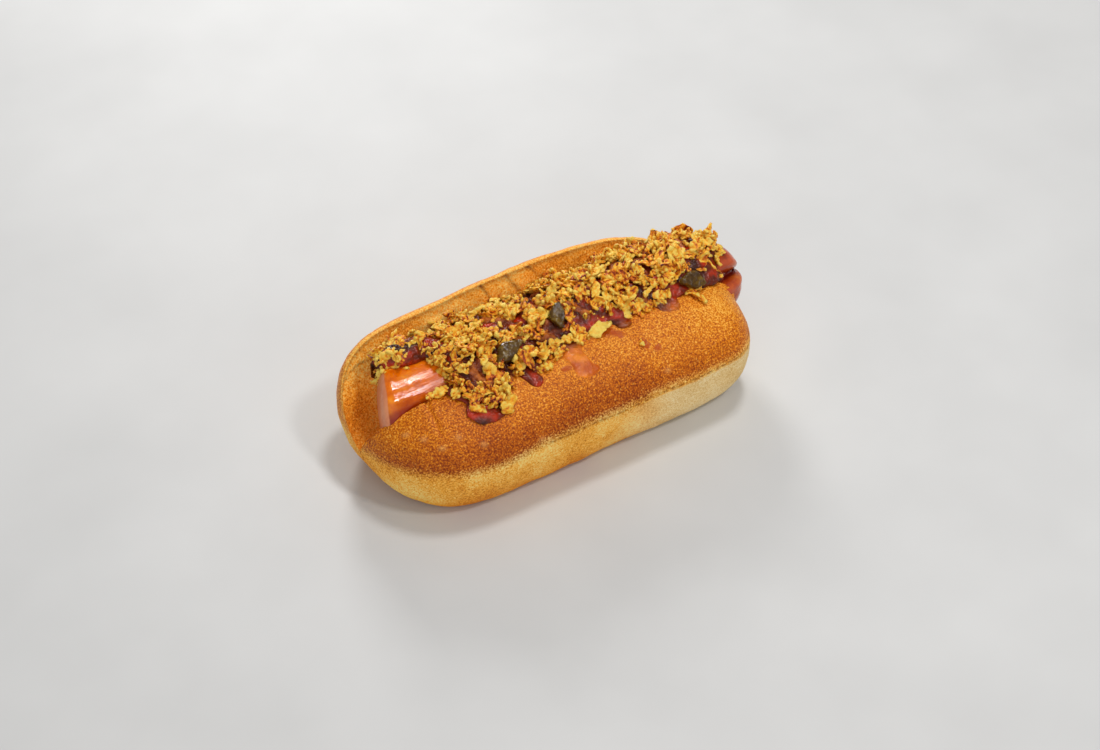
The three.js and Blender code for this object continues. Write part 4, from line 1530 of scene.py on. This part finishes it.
# %% Fallen flakes
# Along the roll, round the crust, turned by, length, width, height over the crust, curl, tone.
FALLEN = [
    (55.5, 0.1, -1.0, 11, 2.4, 1.2, 0.8, 0.5),
    (18, 0.08, 0.35, 10, 5.4, 1.4, 0.5, 1.3),
    (28, 0.36, 1.2, 2.6, 1.4, 0.2, 0.3, 0.5),
    (-26, 0.39, 0.9, 8, 5, 1.6, 0.9, 0.85),
    (-32, 0.2, 0.2, 7, 3.6, 1.8, 0.8, 0.5),
    (-36, 0.33, -0.6, 6, 3, 1.6, 0.9, 0.6),
    (-30, 0.32, 1.3, 5.5, 3.2, 1.8, 0.6, 0.35),
    (-43, 0.03, 0.3, 7, 3.2, 1.0, 0.9, 0.6),
    (-39, 0.1, 0.9, 6, 3, 1.2, 0.7, 0.7),
    (-47, 0.02, 0.1, 4, 2.2, 0.8, 0.5, 0.5),
    (40, 0.04, 0.4, 6.5, 2.6, 1.0, 0.6, 0.4),
    (46, 0.03, -0.2, 5, 2.8, 1.2, 0.6, 0.7),
    (10, 0.1, 0.7, 6, 3.4, 1.4, 0.7, 0.55),
    (-7, 0.22, -0.3, 5, 3, 1.3, 0.7, 0.6),
]


# On the heap: along the roll, across the heap from its back, and the rest as above.
PERCHED = [
    (-53, 0.8, 0.3, 8, 3.4, 1.6, 0.8, 0.7),
    (-49, 1.0, 0.1, 7, 4, 1.2, 0.6, 0.5),
    (-44, 0.95, -0.4, 7.5, 3.2, 1.4, 0.9, 0.8),
    (-47, 0.7, 1.0, 6, 3.6, 1.8, 0.6, 0.4),
    (-40, 0.85, 0.5, 7, 3.4, 1.5, 0.8, 0.6),
    (-55, 0.4, -0.6, 6, 3, 1.6, 0.7, 0.5),
    (48, 0.9, 0.4, 7, 3.4, 1.5, 0.8, 0.6),
    (43, 0.97, -0.3, 6.5, 3.6, 1.4, 0.7, 0.75),
    (51, 0.75, 0.9, 6, 3, 1.6, 0.6, 0.5),
    (66, 0.6, 0.2, 7, 3.4, 1.4, 0.8, 0.55),
]

FLAKE_THICK, FLAKE_RINGS, FLAKE_SIDES = 1.2, 22, 18


def on_the_crust(x, place):
    """A place on the front crust, and the way out there."""
    at, out = crust_line(x, np.array([place]))
    return np.array([x, *at[0]]), Vector((0, *out[0]))


def hand_laid(name):
    """The flakes one after the other, each a loose skin at its place."""
    random = np.random.default_rng(31)
    for find, rows in ((on_the_crust, FALLEN), (heap_frame, PERCHED)):
        for x, place, yaw, long, wide, lift, curl, tone in rows:
            rings, batter = crisp_rings(random, long, wide, FLAKE_THICK, -curl, FLAKE_RINGS, FLAKE_SIDES)
            rings = laid(turned(rings, yaw), find(x, place), lift) + SHIFT
            yield loose(name + "_part", rings, batter=batter, tone=0 * batter + tone)


onions.append(finished("onion_fallen", joined("onion_fallen", hand_laid("onion_fallen"))))
onions[-1].data.materials.append(onion_finish)

# %% [markdown]
# Each piece now rides on the one body that the frame has and stands for its solid, which is hidden. The
# floor gets its pale, slightly cloudy paint.

# %% Fit to the frame
dressing = [(bread, "bun", "bread"), (sausage, "sausage", "sausage"), (sauce, "sauce", "sauce")]
dressing += [(piece, name, "pickle") for name, piece in pickles.items()]
dressing += [(piece, "fried_onions", "fried_onion") for piece in (core, *onions)]
for piece, node, slot in dressing:
    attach(piece, "root")
    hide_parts(node)

floor_paint, tree, shader = finish("pale_floor", Roughness=0.6)
shade = ramp(tree, cloud(tree, in_mm(tree), 60.0, detail=3.0), (0.3, 200, 200, 199), (0.7, 207, 207, 206))
wire(tree, shader, Base_Color=shade)
floor.data.materials.append(floor_paint)
